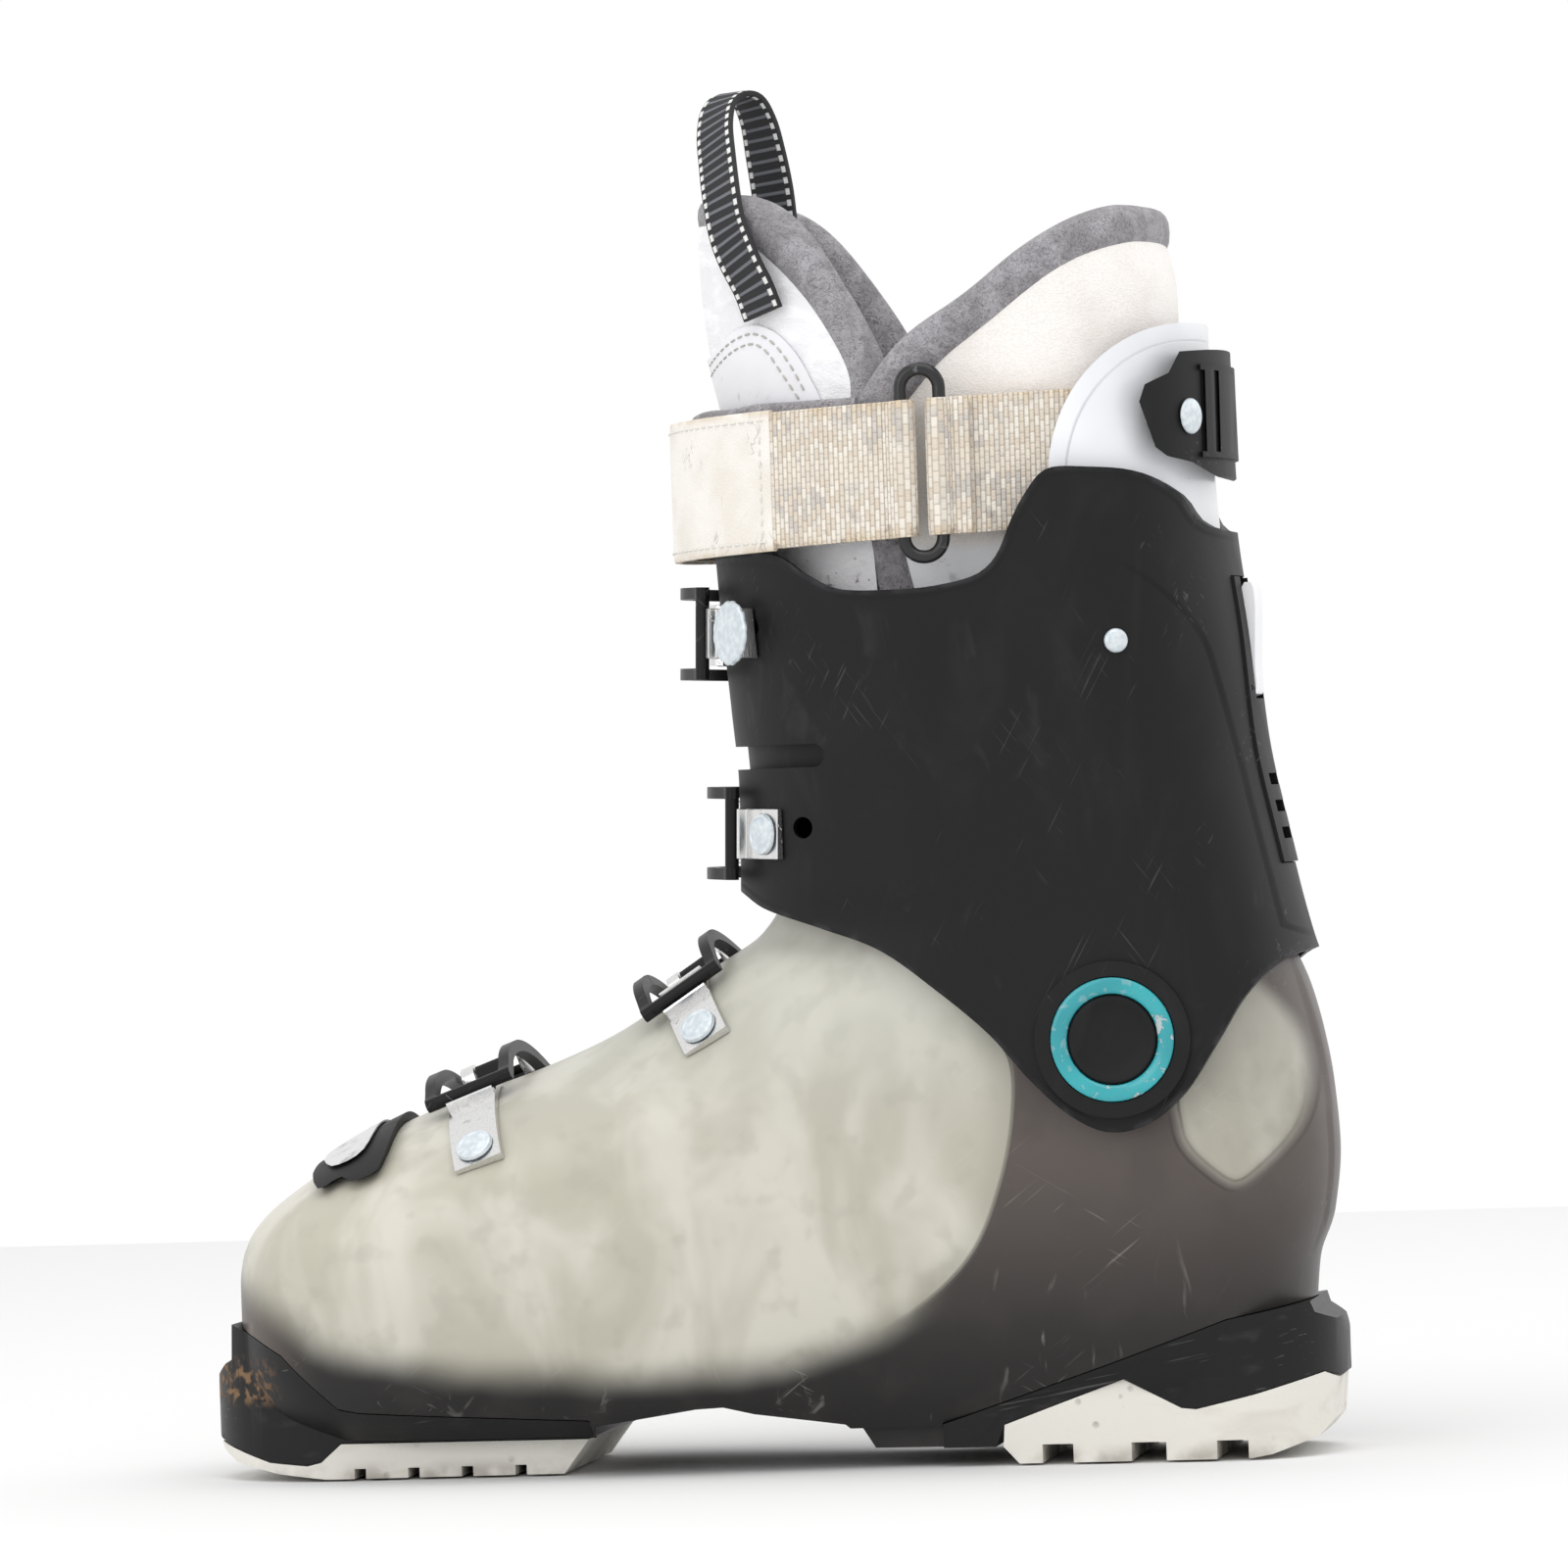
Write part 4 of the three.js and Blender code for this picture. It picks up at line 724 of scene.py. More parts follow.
guard_edge = spline([[119, 79], [115, 75.5], [108.5, 78.5], [105, 77.5], [98, 80.3], [97.2, 84], [97.2, 98]])
guard = cut(body(shell_at, -2.4, 66, 98, 1.5), body(shell_at, -0.3, 60, 100, 2))
piece("toe_shield", keep(guard, prism([*guard_edge.tolist(), [124, 98]])), "shell", black,
      "toe_guard", 35, 0.4)
inset_edge = spline([[116.5, 82.2], [112.5, 81], [104, 85.2], [103.5, 96]])
inset = cut(body(shell_at, -3.2, 66, 98, 1.5), body(shell_at, -2.7, 60, 100, 2))
piece("toe_shield_inset", keep(inset, prism([*inset_edge.tolist(), [120, 96]])), "shell", soft_grey(),
      "toe_guard_inset", 35, 0.2)

# %% [markdown]
# ## Cuff
# The cuff is the stiff upper shell. It is another loft, trimmed by a swooping lower edge that clears
# the instep and an upper edge that drops in front for the power strap. Its front overlaps like the
# clog's, a slot lets the flap bend, and a raised line marks the spine panel. That line is in the bump,
# since its step is finer than the mesh.

# %% Cuff sections
cuff_front = curve([84, 122], [100, 84], [112, 52], [120, 36], [130, 20], [140, 9], [147, 6.6],
                   [176, 6], [196, 7.3], [213, 8.6], [233, 9.9], [260, 11], [292, 12])
cuff_back = curve([84, -155], [110, -150.5], [122, -146.6], [133, -142.8], [159, -136.9],
                  [185, -131.9], [211, -129.5], [238, -126.2], [256, -125.2], [292, -124.7])
cuff_back_cap = curve([84, 38], [135, 39], [180, 46], [292, 46])
cuff_front_cap = curve([84, 96], [104, 100], [120, 88], [140, 67], [150, 60], [292, 58])
cuff_forefoot = curve([84, 55.8], [105, 52.9], [120, 51.7], [135, 50.6], [150, 50.2], [190, 52.5],
                      [235, 56], [292, 57.5])
cuff_heel = curve([84, 48.2], [110, 49.2], [135, 49.2], [150, 49.6], [190, 52], [235, 56], [292, 57.5])


def cuff_at(z, inset=0.0):
    forefoot, heel = cuff_forefoot(z), cuff_heel(z)
    return {"front": cuff_front(z) - inset, "back": cuff_back(z) + inset,
            "front_cap": cuff_front_cap(z) - 0.6 * inset, "back_cap": cuff_back_cap(z) - 0.5 * inset,
            "front_power": 2, "back_power": 2.1,
            "half": lambda x: heel + (forefoot - heel) * ease((x + 75) / 120) - inset}


CUFF_LOWER = spline([[30, 152], [6, 149], [-3, 144.5], [-20, 139], [-36, 133], [-51, 122], [-64, 110.5],
                     [-74, 98.6], [-84, 89.3], [-93, 85], [-102, 86], [-112.5, 93.4], [-122, 107],
                     [-129, 118.5], [-136, 126], [-143, 129.4], [-160, 131]])
CUFF_UPPER = spline([[-160, 238.5], [-121.7, 239], [-116, 247], [-107, 252.7], [-94.5, 254.4],
                     [-84, 254], [-78.5, 248], [-75, 242], [-70.5, 232.5], [-66, 228.4],
                     [-56, 225.8], [-44, 225], [-28, 226], [-20, 230], [-12, 235], [30, 236.5]])
PANEL = spline([[-98, 232], [-106, 227], [-114, 220], [-120.5, 210], [-123.5, 199], [-127, 183],
                [-132, 160], [-137.5, 136]]).tolist() + [[-170, 120], [-170, 300], [-98, 300]]
PIVOT = (-95.5, 108.6)
print("cuff edge:", len(CUFF_LOWER) + len(CUFF_UPPER), "points")


# %% Cuff finish
def cuff_plastic():
    """Matt black with the faint grey smears and scratches of a season's use."""
    f = Finish("cuff_plastic")
    x, _, _ = f.place()
    panel, rim = f.mark("panel"), f.mark("rim")
    smear = f.noise(30, 5, (1, 1, 2.4), 1.8).rise(0.5, 0.74)
    dust = f.noise(9, 5, (1, 1, 2), 0.8).rise(0.56, 0.76) * f.noise(60, 2).rise(0.4, 0.6)
    fine = f.scratches(50, 0.5, 0.06) + f.scratches(30, 2.5, 0.04)
    colour = f.blend(smear * 0.6, tone(24, 24, 25), tone(35, 35, 37))
    colour = f.blend(dust * 0.35, colour, tone(58, 58, 61))
    colour = f.blend(fine * 0.16, colour, tone(120, 120, 124))
    edge = rim.rise(1.6, 0.3) * f.noise(6, 3).rise(0.4, 0.7)
    colour = f.blend(edge * 0.4, colour, tone(70, 70, 73))
    step = panel.rise(-0.9, 0.9) * x.rise(-99, -106)
    height = f.noise(0.6, 3) * 0.03 + step * 0.7 - fine * 0.03 + rim.rise(2.6, 1.0) * 0.25
    return f.done(colour, 0.5 + smear * 0.08 - dust * 0.06, height, Specular_IOR_Level=0.2)


cuff_black = cuff_plastic()
print("finish: cuff plastic")


# %% Cuff body
def band(section, outer, inner, low, high, step=4.0):
    """Sheet between two insets of one section, open at both ends."""
    return cut(body(section, outer, low, high, step), body(section, inner, low - 1, high + 1, step))


def surface_y(section, x, z, outset):
    s = section(z, -outset)
    return float(side_y(s, x)) + float(toe_skew(x)), float(side_y(s, x + 1) - side_y(s, x - 1)) / 2


def on_side(mesh, x, z, outset, section=cuff_at):
    """Puts a form made along +Y on the cuff's inner-side surface, facing out."""
    y, slope = surface_y(section, x, z, outset)
    mesh.transform(Matrix.Translation((x, y, z)) @ Matrix.Rotation(math.atan(slope), 4, "Z"))
    return mesh


def spun(profile, sides=48):
    """Round form about the Y axis from (radius, height) pairs, closed on the axis at both ends."""
    a = np.linspace(0, 2 * math.pi, sides, endpoint=False)
    rings = [np.column_stack([r * np.sin(a), np.full(sides, h), r * np.cos(a)]) for r, h in profile]
    return loft(rings)


def cuff_body():
    outer = body(cuff_at, 0, 83, 258, 1.6, detail=(44, 40, 44))
    shape = cut(outer, body(cuff_at, 4.1, 80, 262, 4))
    pad = keep(band(cuff_at, 3.6, 7.4, 149, 225), block(-145, -110, -17, 17, 149.5, 224))
    for y0, y1 in ((46.2, 50.4), (-50.4, -46.2)):
        shape = join(shape, disc(*PIVOT, 20, y0, y1, 72))
    front = block(-40, 30, -33, -15.2, 140, 240)
    root = keep(band(cuff_at, 3.6, 7.4, 140, 240), front)
    tip = keep(band(cuff_at, 4.6, 7.4, 140, 240), block(-40, 30, -15.4, 16, 140, 240))
    shape = join(shape, pad, root, tip)
    shape = keep(shape, prism([*CUFF_LOWER.tolist(), *CUFF_UPPER.tolist()]))
    slit = keep(band(cuff_at, -1, 4.6, 100, 260), block(-40, 30, -15.2, -14.2, 99, 261))
    slot = join(block(-20, 30, -14.2, 60, 180.5, 186.5), disc(-20, 183.5, 3, -14.2, 60, 32))
    slot = keep(slot, band(cuff_at, -2, 3.1, 170, 200))
    seats = [disc(*PIVOT, 16.1, 48.8, 70, 72), disc(*PIVOT, 16.1, -70, -48.8, 72)]
    spine = keep(band(cuff_at, -3, 4.2, 151.7, 226.3), block(-150, -112, -15.3, 15.3, 151.7, 226.3))
    holes = [disc(-3, 217, 2.8, 20, 60, 28), disc(-16, 165, 2.8, 20, 60, 28)]
    return cut(shape, slit, slot, *seats, spine, *holes, disc(*PIVOT, 5.3, -70, 70))


cuff_marks = {"panel": inside(PANEL), "rim": inside([*CUFF_LOWER.tolist(), *CUFF_UPPER.tolist()])}
piece("cuff_shell", cuff_body(), "cuff", cuff_black, "cuff", 38, marks=cuff_marks)

# %% [markdown]
# ## Pivots and rivets
# The cuff turns on two bolts with dark dished caps, each inside a glossy coloured ring that has lost
# chips of paint. Domed rivets hold the spoiler and the strap keeper. All are turned shapes: a profile
# spun round an axis is how a lathe makes them, and the shortest way to a clean dome.


# %% Pivots
def chipped_paint():
    f = Finish("chipped_teal")
    x, _, z = f.place()
    chips = f.noise(3.2, 4, (1, 1, 1), 0.8).rise(0.585, 0.61) * (x + z * 0.6 + 40).rise(22, -4).most(0.25)
    tint = f.noise(18, 2).rise(0.3, 0.7)
    colour = f.blend(chips, f.blend(tint, tone(22, 145, 154), tone(36, 166, 173)), tone(176, 186, 188))
    return f.done(colour, 0.28 + chips * 0.3, f.noise(2, 2) * 0.02 - chips * 0.12, coat=0.5)


ring_profile = [(11.7, -1.3), (15.4, -1.3), (15.8, -0.9), (15.8, 0.35), (15.5, 0.65), (14.6, 0.75),
                (12.6, 0.55), (11.8, 0.15), (11.6, -0.4)]
teal = chipped_paint()


def turned_ring(profile, sides=96):
    a = np.linspace(0, 2 * math.pi, sides, endpoint=False)
    n = len(profile)
    co = np.vstack([np.column_stack([r * np.sin(a), np.full(sides, h), r * np.cos(a)]) for r, h in profile])
    faces = [(i * sides + j, i * sides + (j + 1) % sides, (i + 1) % n * sides + (j + 1) % sides,
              (i + 1) % n * sides + j) for i in range(n) for j in range(sides)]
    return form(co, faces)


for side_name, flip in (("medial", 1), ("lateral", -1)):
    ring = turned_ring(ring_profile)
    cap = spun([(0.01, -9), (5, -9), (5, -1.3), (11.3, -1.3), (11.3, -0.3), (10.9, 0.15), (10.2, 0.2),
                (9.2, -0.5), (6, -0.9), (0.01, -1)])
    for mesh in (ring, cap):
        mesh.transform(Matrix.Translation((PIVOT[0], 50.4, PIVOT[1])))
    if flip < 0:
        ring, cap = mirrored(ring), mirrored(cap)
    piece("pivot_trim_" + side_name, ring, "cuff", teal, "pivot_ring_" + side_name, 50)
    piece("pivot_cap_" + side_name, cap, "shell", black, "pivot_bolt_" + side_name, 40)


# %% Rivets
def rivet_metal():
    """Plated rivet, pearly from fine tumbling marks."""
    f = Finish("rivet_plating")
    mottle = f.noise(1.6, 4).rise(0.35, 0.7)
    colour = f.blend(mottle, tone(198, 208, 214), tone(222, 228, 231))
    return f.done(colour, 0.3 + mottle * 0.16, f.noise(0.7, 3) * 0.03, metal=0.35)


plated = rivet_metal()


def rivet(radius, height=1.35):
    r = radius
    return spun([(0.01, -6), (1.5, -6), (1.5, 0), (r, 0), (r, 0.25), (r * 0.96, height * 0.45),
                 (r * 0.85, height * 0.7), (r * 0.6, height * 0.92), (r * 0.3, height), (0.01, height)])


for label, x, z, outset, radius in (("clip", -119, 267, 1.3, 4.6), ("spoiler", -100, 210, 0.3, 3.1)):
    for side_name in ("medial", "lateral"):
        head = on_side(rivet(radius), x, z, outset)
        head = mirrored(head) if side_name == "lateral" else head
        piece(label + "_rivet_head_" + side_name, head, "cuff", plated, label + "_rivet_" + side_name, 50)

# %% [markdown]
# ## Spine and walk lever
# A plate let into the back of the cuff carries a white lever: down it locks the cuff to the shell for
# skiing, out it frees the ankle for walking. The lever's side outline follows the cuff's own back
# curve, and a wide bevel gives it the soft edge that a thumb finds.


# %% Spine plate and lever
def white_plastic(name, shade=(240, 240, 243)):
    """Glossy white plastic, a little yellowed and scuffed."""
    f = Finish(name)
    cloud = f.noise(28, 2).rise(0.35, 0.65)
    fine = f.scratches(30, 0.7, 0.05)
    dirt = f.noise(3.5, 5, (1, 1, 2)).rise(0.64, 0.76) * f.noise(22, 2).rise(0.5, 0.62)
    colour = f.blend(cloud, tone(*shade), tone(*[c - 7 for c in shade]))
    colour = f.blend((fine * 0.3 + dirt * 0.4).least(0.6), colour, tone(150, 146, 142))
    return f.done(colour, 0.3 + fine * 0.2 + cloud * 0.06, f.noise(1.1, 2) * 0.015, coat=0.2)


white = white_plastic("white_plastic")
spine = keep(band(cuff_at, -0.8, 3.9, 152, 226, 3), block(-150, -112, -15, 15, 152, 226))
for x0, x1, y0, y1, z0, z1 in ((-150, -112, -9.4, 9.4, 194.4, 228), (-150, -130.6, -10, 10, 158, 161),
                               (-150, -130.2, -10, 10, 165, 168), (-150, -129.8, -10, 10, 172, 175)):
    spine = cut(spine, block(x0, x1, y0, y1, z0, z1))
lever_x = cuff_back(197) + 1.5
piece("spine", cut(spine, disc(lever_x, 197, 1.4, -13, 13, 24)), "cuff", black, "spine_plate", 35, 0.5)
profile = [(-0.5, 197), (0, 195.6), (1.5, 195), (3, 195.6), (3.5, 197), (3.4, 206), (3.1, 214), (1.4, 221),
           (-1, 224.5), (-2.9, 224.5), (-3.1, 220), (-1.8, 211), (-0.8, 203)]
outline = spline([(cuff_back(z) + depth, z) for depth, z in profile], True)
thumb = cut(prism(outline, -9, 9), disc(lever_x, 197, 1.4, -20, 20, 24))
piece("walk_switch", thumb, "walk_lever", white, "walk_lever", 30, 0.8)

# %% [markdown]
# ## Spoiler and strap keeper
# The white spoiler stands inside the cuff and carries the calf; a second, slightly smaller layer shows
# along its rim. The black keeper with rows of ridges holds the power strap behind it.

# %% Spoiler and keeper
SPOILER = [[-88, 205], [-84, 225], *spline([[-84.5, 248], [-84.5, 257], [-88, 269], [-94.5, 279],
           [-104, 287], [-114, 291], [-128, 292]]).tolist(),
           [-140, 292], [-140, 225], [-114, 225], [-110, 205]]


def rimmed_white():
    """The spoiler's white plastic with a stepped border along its upper edge."""
    f = Finish("rimmed_white")
    rim = f.mark("rim")
    cloud = f.noise(28, 2).rise(0.35, 0.65)
    fine = f.scratches(30, 0.7, 0.05)
    colour = f.blend(cloud, tone(239, 240, 244), tone(231, 232, 236))
    colour = f.blend((rim - 4.4).line(0.15, 0.5) * 0.3 + fine * 0.2, colour, tone(170, 172, 180))
    return f.done(colour, 0.28 + fine * 0.2, rim.rise(4.0, 4.9) * 0.7 + f.noise(1.1, 2) * 0.015, coat=0.25)


spoiler = keep(band(cuff_at, 4.4, 7.4, 204, 293, 2), prism(SPOILER))
piece("calf_spoiler", spoiler, "cuff", rimmed_white(), "spoiler", 40, 0.5,
      marks={"rim": inside(SPOILER)})
KEEPER = [[-117, 283.5], [-150, 288], [-150, 254.5], [-124, 251.6], [-119, 255.3], [-113.5, 256.8],
          [-111, 259], [-107.6, 270.6], [-109, 275], [-114.5, 278]]
keeper = keep(band(cuff_at, -1, 4.1, 248, 290, 2), prism(KEEPER))
pad = keep(band(cuff_at, -1.9, 3, 256, 281, 2), block(-150, -121.5, -60, 60, 256.5, 280.5))
keeper = join(keeper, keep(pad, block(-150, -121.5, -60, 60, 250, 290)))
for k in range(4):
    x = -121.2 - 2.6 * k
    keeper = cut(keeper, keep(band(cuff_at, -3, -1.2, 250, 290), block(x - 1.2, x - 0.2, -60, 60, 258, 279)))
piece("strap_keeper", keeper, "cuff", black, "strap_clip", 35, 0.45)

# %% [markdown]
# ## Stitches
# Seams are what make a soft part look sewn. Each stitch is a short capsule laid along the seam and
# sunk half into the cloth. A bump could fake them, but real thread keeps its shape in close views.


# %% Stitch maker
def stitches(path, out, length=2.1, gap=0.9, radius=0.33):
    """Capsules along a path of points; out gives the surface's outward direction at each."""
    p = np.asarray(path, float)
    n = np.asarray(out, float)
    run = np.concatenate([[0], np.cumsum(np.linalg.norm(np.diff(p, axis=0), axis=1))])
    points, faces = [], []
    for start in np.arange(0.5, run[-1] - length, length + gap):
        ends = [np.array([np.interp(start + d, run, p[:, k]) for k in range(3)]) for d in (0, length)]
        normal = np.array([np.interp(start, run, n[:, k]) for k in range(3)])
        along = (ends[1] - ends[0]) / length
        normal = normal / np.linalg.norm(normal)
        cross = np.cross(along, normal)
        base = len(points)
        for t, wide in ((0, 0.15), (0.12, 0.8), (0.5, 1), (0.88, 0.8), (1, 0.15)):
            centre = ends[0] + (ends[1] - ends[0]) * t
            for a in np.arange(6) * math.pi / 3:
                points.append(centre + radius * wide * (cross * math.cos(a) + normal * (math.sin(a) + 0.2)))
        for i in range(4):
            for j in range(6):
                k = (j + 1) % 6
                faces.append((base + i * 6 + j, base + i * 6 + k, base + i * 6 + 6 + k, base + i * 6 + 6 + j))
        faces += [tuple(base + j for j in range(5, -1, -1)), tuple(base + 24 + j for j in range(6))]
    return form(points, faces)


def thread(name, shade):
    f = Finish(name)
    twist = f.noise(0.5, 2)
    return f.done(f.blend(twist, tone(*shade), tone(*[max(0, c - 30) for c in shade])), 0.8, twist * 0.1)


pale_thread = thread("pale_thread", (236, 234, 228))
grey_thread = thread("grey_thread", (196, 193, 188))

# %% [markdown]
# ## Liner and tongue
# The liner is a soft boot of foam under coated cloth, edged with a fat roll of grey plush. The cloth
# parts are lofts like the hard ones, since they are pressed against them; the plush is a padded roll
# swept along the rim. A cloth simulation would blow up a closed pad, but these rolls are thinner than
# its smallest useful cell, so their fullness is drawn in the swept section.


# %% Soft finishes
def plush():
    """Short grey pile: fine shadowed tufts, brushed a little lighter in patches."""
    f = Finish("grey_plush")
    tuft = f.noise(0.9, 4, (1, 1, 1), 1.2)
    brushed = f.noise(9, 4, (1, 1, 1), 1.0).rise(0.36, 0.64)
    colour = f.blend(brushed, tone(146, 143, 147), tone(172, 169, 174))
    colour = f.blend(tuft.rise(0.55, 0.3) * 0.6, colour, tone(92, 90, 94))
    height = tuft * 0.9 + f.noise(3, 3) * 0.5
    return f.done(colour, 0.95, height, Sheen_Weight=0.3, Sheen_Roughness=0.5, Specular_IOR_Level=0.1)


def liner_cloth():
    """Off-white coated fabric with a fine knit and a few grubby clouds."""
    f = Finish("liner_cloth")
    _, _, z = f.place()
    weave = f.specks(0.75, (1, 1, 0.6))
    cloud = f.noise(20, 4).rise(0.4, 0.68)
    colour = f.blend(cloud, tone(243, 239, 235), tone(234, 228, 223))
    colour = f.blend(weave.rise(0.4, 0.7) * 0.2, colour, tone(200, 194, 188))
    low = z.rise(238, 234)
    colour = f.blend(low, colour, tone(232, 233, 236))
    scuff = f.noise(3, 5, (1.8, 1, 1)).rise(0.6, 0.66) * f.noise(13, 2).rise(0.48, 0.6) * low
    colour = f.blend(scuff * 0.8, colour, tone(88, 84, 86))
    return f.done(colour, 0.85, weave * 0.1 + f.noise(11, 3) * 0.5, Sheen_Weight=0.2)


def tongue_leather():
    """White grained synthetic leather over foam, creased and marked above the strap; the dips of the creases
    carry painted shade.
    """
    f = Finish("white_leather")
    _, _, z = f.place()
    grain = f.specks(1.1, (1, 1, 1), "DISTANCE_TO_EDGE")
    crease_and_shade = f.noise(14, 4, (1, 1, 0.5), 1.1)
    grub = f.noise(5, 5, (1.6, 1, 1)).rise(0.56, 0.74) * z.rise(292, 262)
    mark = f.noise(2.6, 5).rise(0.6, 0.68) * z.rise(240, 228)
    # painted shade: the colour is darker in the dips and lighter on the crests of the crease bump
    colour = f.blend(crease_and_shade.rise(0.4, 0.62), tone(232, 231, 234), tone(242, 242, 244))
    colour = f.blend(grub * 0.5, colour, tone(186, 181, 178))
    colour = f.blend(mark * 0.8, colour, tone(96, 90, 92))
    height = grain.rise(0.0, 0.22) * 0.05 + crease_and_shade * 0.6
    return f.done(colour, 0.5, height, Specular_IOR_Level=0.4)


fur = plush()
cloth = liner_cloth()
leather = tongue_leather()
print("finishes: plush, liner cloth and white leather")


# %% Swept bodies
def sweep(path, out, wide, section, closed=False):
    """Body along a path. section holds (o, w) pairs: o along the outward and w along the wide direction."""
    p, out, wide = (np.asarray(v, float) for v in (path, out, wide))
    out = out / np.linalg.norm(out, axis=1)[:, None]
    wide = wide / np.linalg.norm(wide, axis=1)[:, None]
    sec = np.asarray(section, float)
    n, m = len(p), len(sec)
    co = (p[:, None] + out[:, None] * sec[None, :, 0:1] + wide[:, None] * sec[None, :, 1:2]).reshape(-1, 3)
    faces = []
    for i in range(n if closed else n - 1):
        k = (i + 1) % n
        for j in range(m):
            faces.append((i * m + j, i * m + (j + 1) % m, k * m + (j + 1) % m, k * m + j))
    if not closed:
        faces += [tuple(range(m - 1, -1, -1)), tuple((n - 1) * m + j for j in range(m))]
    made = form(co, faces)
    run = np.concatenate([[0], np.cumsum(np.linalg.norm(np.diff(p, axis=0), axis=1))])
    for label, values in (("along", np.repeat(run, m)), ("across", np.tile(sec[:, 1], n))):
        layer = made.attributes.new(label, "FLOAT", "POINT")
        layer.data.foreach_set("value", values)
    sample = made.polygons[(n // 2) * m]
    centre = p[n // 2]
    if sample.normal.dot(Vector(sample.center) - Vector(centre)) < 0:
        made.flip_normals()
    return made


def oval(thick, wide, corners=20, power=2.6):
    a = np.linspace(0, 2 * math.pi, corners, endpoint=False)
    c, s = np.cos(a), np.sin(a)
    return np.column_stack([thick / 2 * np.sign(c) * np.abs(c) ** (2 / power),
                            wide / 2 * np.sign(s) * np.abs(s) ** (2 / power)])


def rim_path(section, inset, edge, front):
    """Rim of a sheet: the inner-side edge line, round its end, and the mirror on the outer side."""
    near = [[x, float(side_y(section(z, inset), x)), z] for x, z in edge]
    x, z = edge[-1]
    s = section(z, inset)
    limit, cap, power = (s[("front" if front else "back") + part] for part in ("", "_cap", "_power"))
    way = -1 if front else 1
    start = math.acos((1 - abs(limit - x) / cap) ** (power / 2))
    for a in np.linspace(start, 0, 14)[1:]:
        x = limit + way * cap * (1 - math.cos(a) ** (2 / power))
        near.append([x, float(s["half"](x)) * math.sin(a) ** (2 / power), z])
    far = [[x, -y, z] for x, y, z in near[-2::-1]]
    path = np.array([*near, *far], float)
    path[:, 1] += toe_skew(path[:, 0])
    return path


def resampled(path, step):
    p = np.asarray(path, float)
    run = np.concatenate([[0], np.cumsum(np.linalg.norm(np.diff(p, axis=0), axis=1))])
    at = np.linspace(0, run[-1], max(2, int(run[-1] / step)))
    return np.column_stack([np.interp(at, run, p[:, k]) for k in range(3)])


def softened(path, times):
    p = np.array(path)
    for _ in range(times):
        p[1:-1] = (p[:-2] + 2 * p[1:-1] + p[2:]) / 4
    return p


def rolled(section, inset, edge, thick, wide, wobble, front):
    """Padded roll along a rim: its section is an oval that dips, fills and wanders a little."""
    path = softened(resampled(rim_path(section, inset, edge, front), 1.5), 8)
    along = np.gradient(path, axis=0)
    along /= np.linalg.norm(along, axis=1)[:, None]
    outward = path - np.array([-60, 0, 0])
    outward[:, 2] = 0
    outward -= along * (outward * along).sum(1)[:, None]
    outward /= np.linalg.norm(outward, axis=1)[:, None]
    upward = np.cross(along, outward)
    upward *= np.sign(upward[:, 2].mean())
    rng = np.random.default_rng(5)
    made = sweep(path, outward, upward, oval(thick, wide))
    m = 20
    co = coordinates(made).reshape(len(path), m, 3)
    bulge = np.convolve(rng.normal(0, 1, len(path) + 30), np.hanning(31) / 4, "valid")[: len(path)]
    co = path[:, None] + (co - path[:, None]) * (1 + wobble * bulge)[:, None, None]
    made.vertices.foreach_set("co", co.reshape(-1))
    made.update()
    return made


# %% Liner shaft
def liner_at(z, inset=0.0):
    s = cuff_at(z, inset)
    s["back"] = s["back"] + 8 * float(ease((z - 300) / 36))
    return s


COLLAR = [[-46.5, 212], [-41, 240], [-38.5, 262], [-39.5, 270], [-46, 279.5], [-52.6, 286.6], [-68, 297.2],
          [-80, 306.5], [-91, 313], [-100, 316.6]]
rim = [[x - 0.5, z + 1] for x, z in COLLAR[2:]]
SHAFT = spline([[-60, 174], [-48, 205], [-42, 240], *rim, [-140, 318.5]]).tolist() + [[-140, 174]]
shaft = keep(band(liner_at, 11.9, 18.9, 173, 326, 2.5), prism(SHAFT))
shaft_piece = piece("liner_cuff", shaft, "cuff", cloth, "liner_shaft", 50)
collar = rolled(liner_at, 15.4, spline(COLLAR).tolist(), 11.2, 12, 0.05, False)
collar_piece = piece("liner_roll", collar, "cuff", fur, "liner_collar", 80)

# %% Tongue
tongue_front = curve([172, -8.5], [190, -3.8], [215, -1.8], [233, 0.2], [250, 3.6], [271, 6],
                     [292, 10.4], [306, 11.8], [319, 12.2], [330, 9])


def tongue_at(z, inset=0.0):
    wide = 43 - 7 * float(ease((z - 240) / 90))
    return {"front": tongue_front(z) - inset, "back": -120, "front_cap": 46 - 0.6 * inset, "back_cap": 40,
            "front_power": 2, "back_power": 2, "half": lambda x: wide - inset + 0 * x}


TONGUE = spline([[-34, 174], [-38, 215], [-36, 250], [-34, 268], [-35, 280], [-29.5, 292], [-19.5, 308],
                 [-11, 318], [-3, 322.5], [12, 324], [30, 324]]).tolist() + [[30, 174]]
tongue = keep(band(tongue_at, 0, 8, 173, 330, 2.5), prism(TONGUE))
tongue_piece = piece("tongue_pad", tongue, "cuff", leather, "tongue", 50)
TRIM = [[-36, 258], [-36.5, 272], [-36.5, 280], [-31, 292.5], [-21, 308.5], [-12, 319], [-4, 323.6],
        [2, 324.8], [6, 325]]
trim = rolled(tongue_at, 4.0, spline(TRIM).tolist(), 12, 11, 0.05, True)
trim_piece = piece("tongue_roll", trim, "cuff", fur, "tongue_trim", 80)
PATCH = [[30, 277], [30, 283], *spline([[8, 288], [0, 293.6], [-6, 295], [-12, 293], [-18, 287],
         [-23.5, 277]]).tolist()]
patch = keep(band(tongue_at, -1.2, -0.2, 268, 297, 1.5), prism([*PATCH, [-28, 266], [30, 266]]))
piece("tongue_shield", patch, "cuff", white_plastic("patch_skin", (233, 233, 237)), "tongue_patch", 40, 0.3)


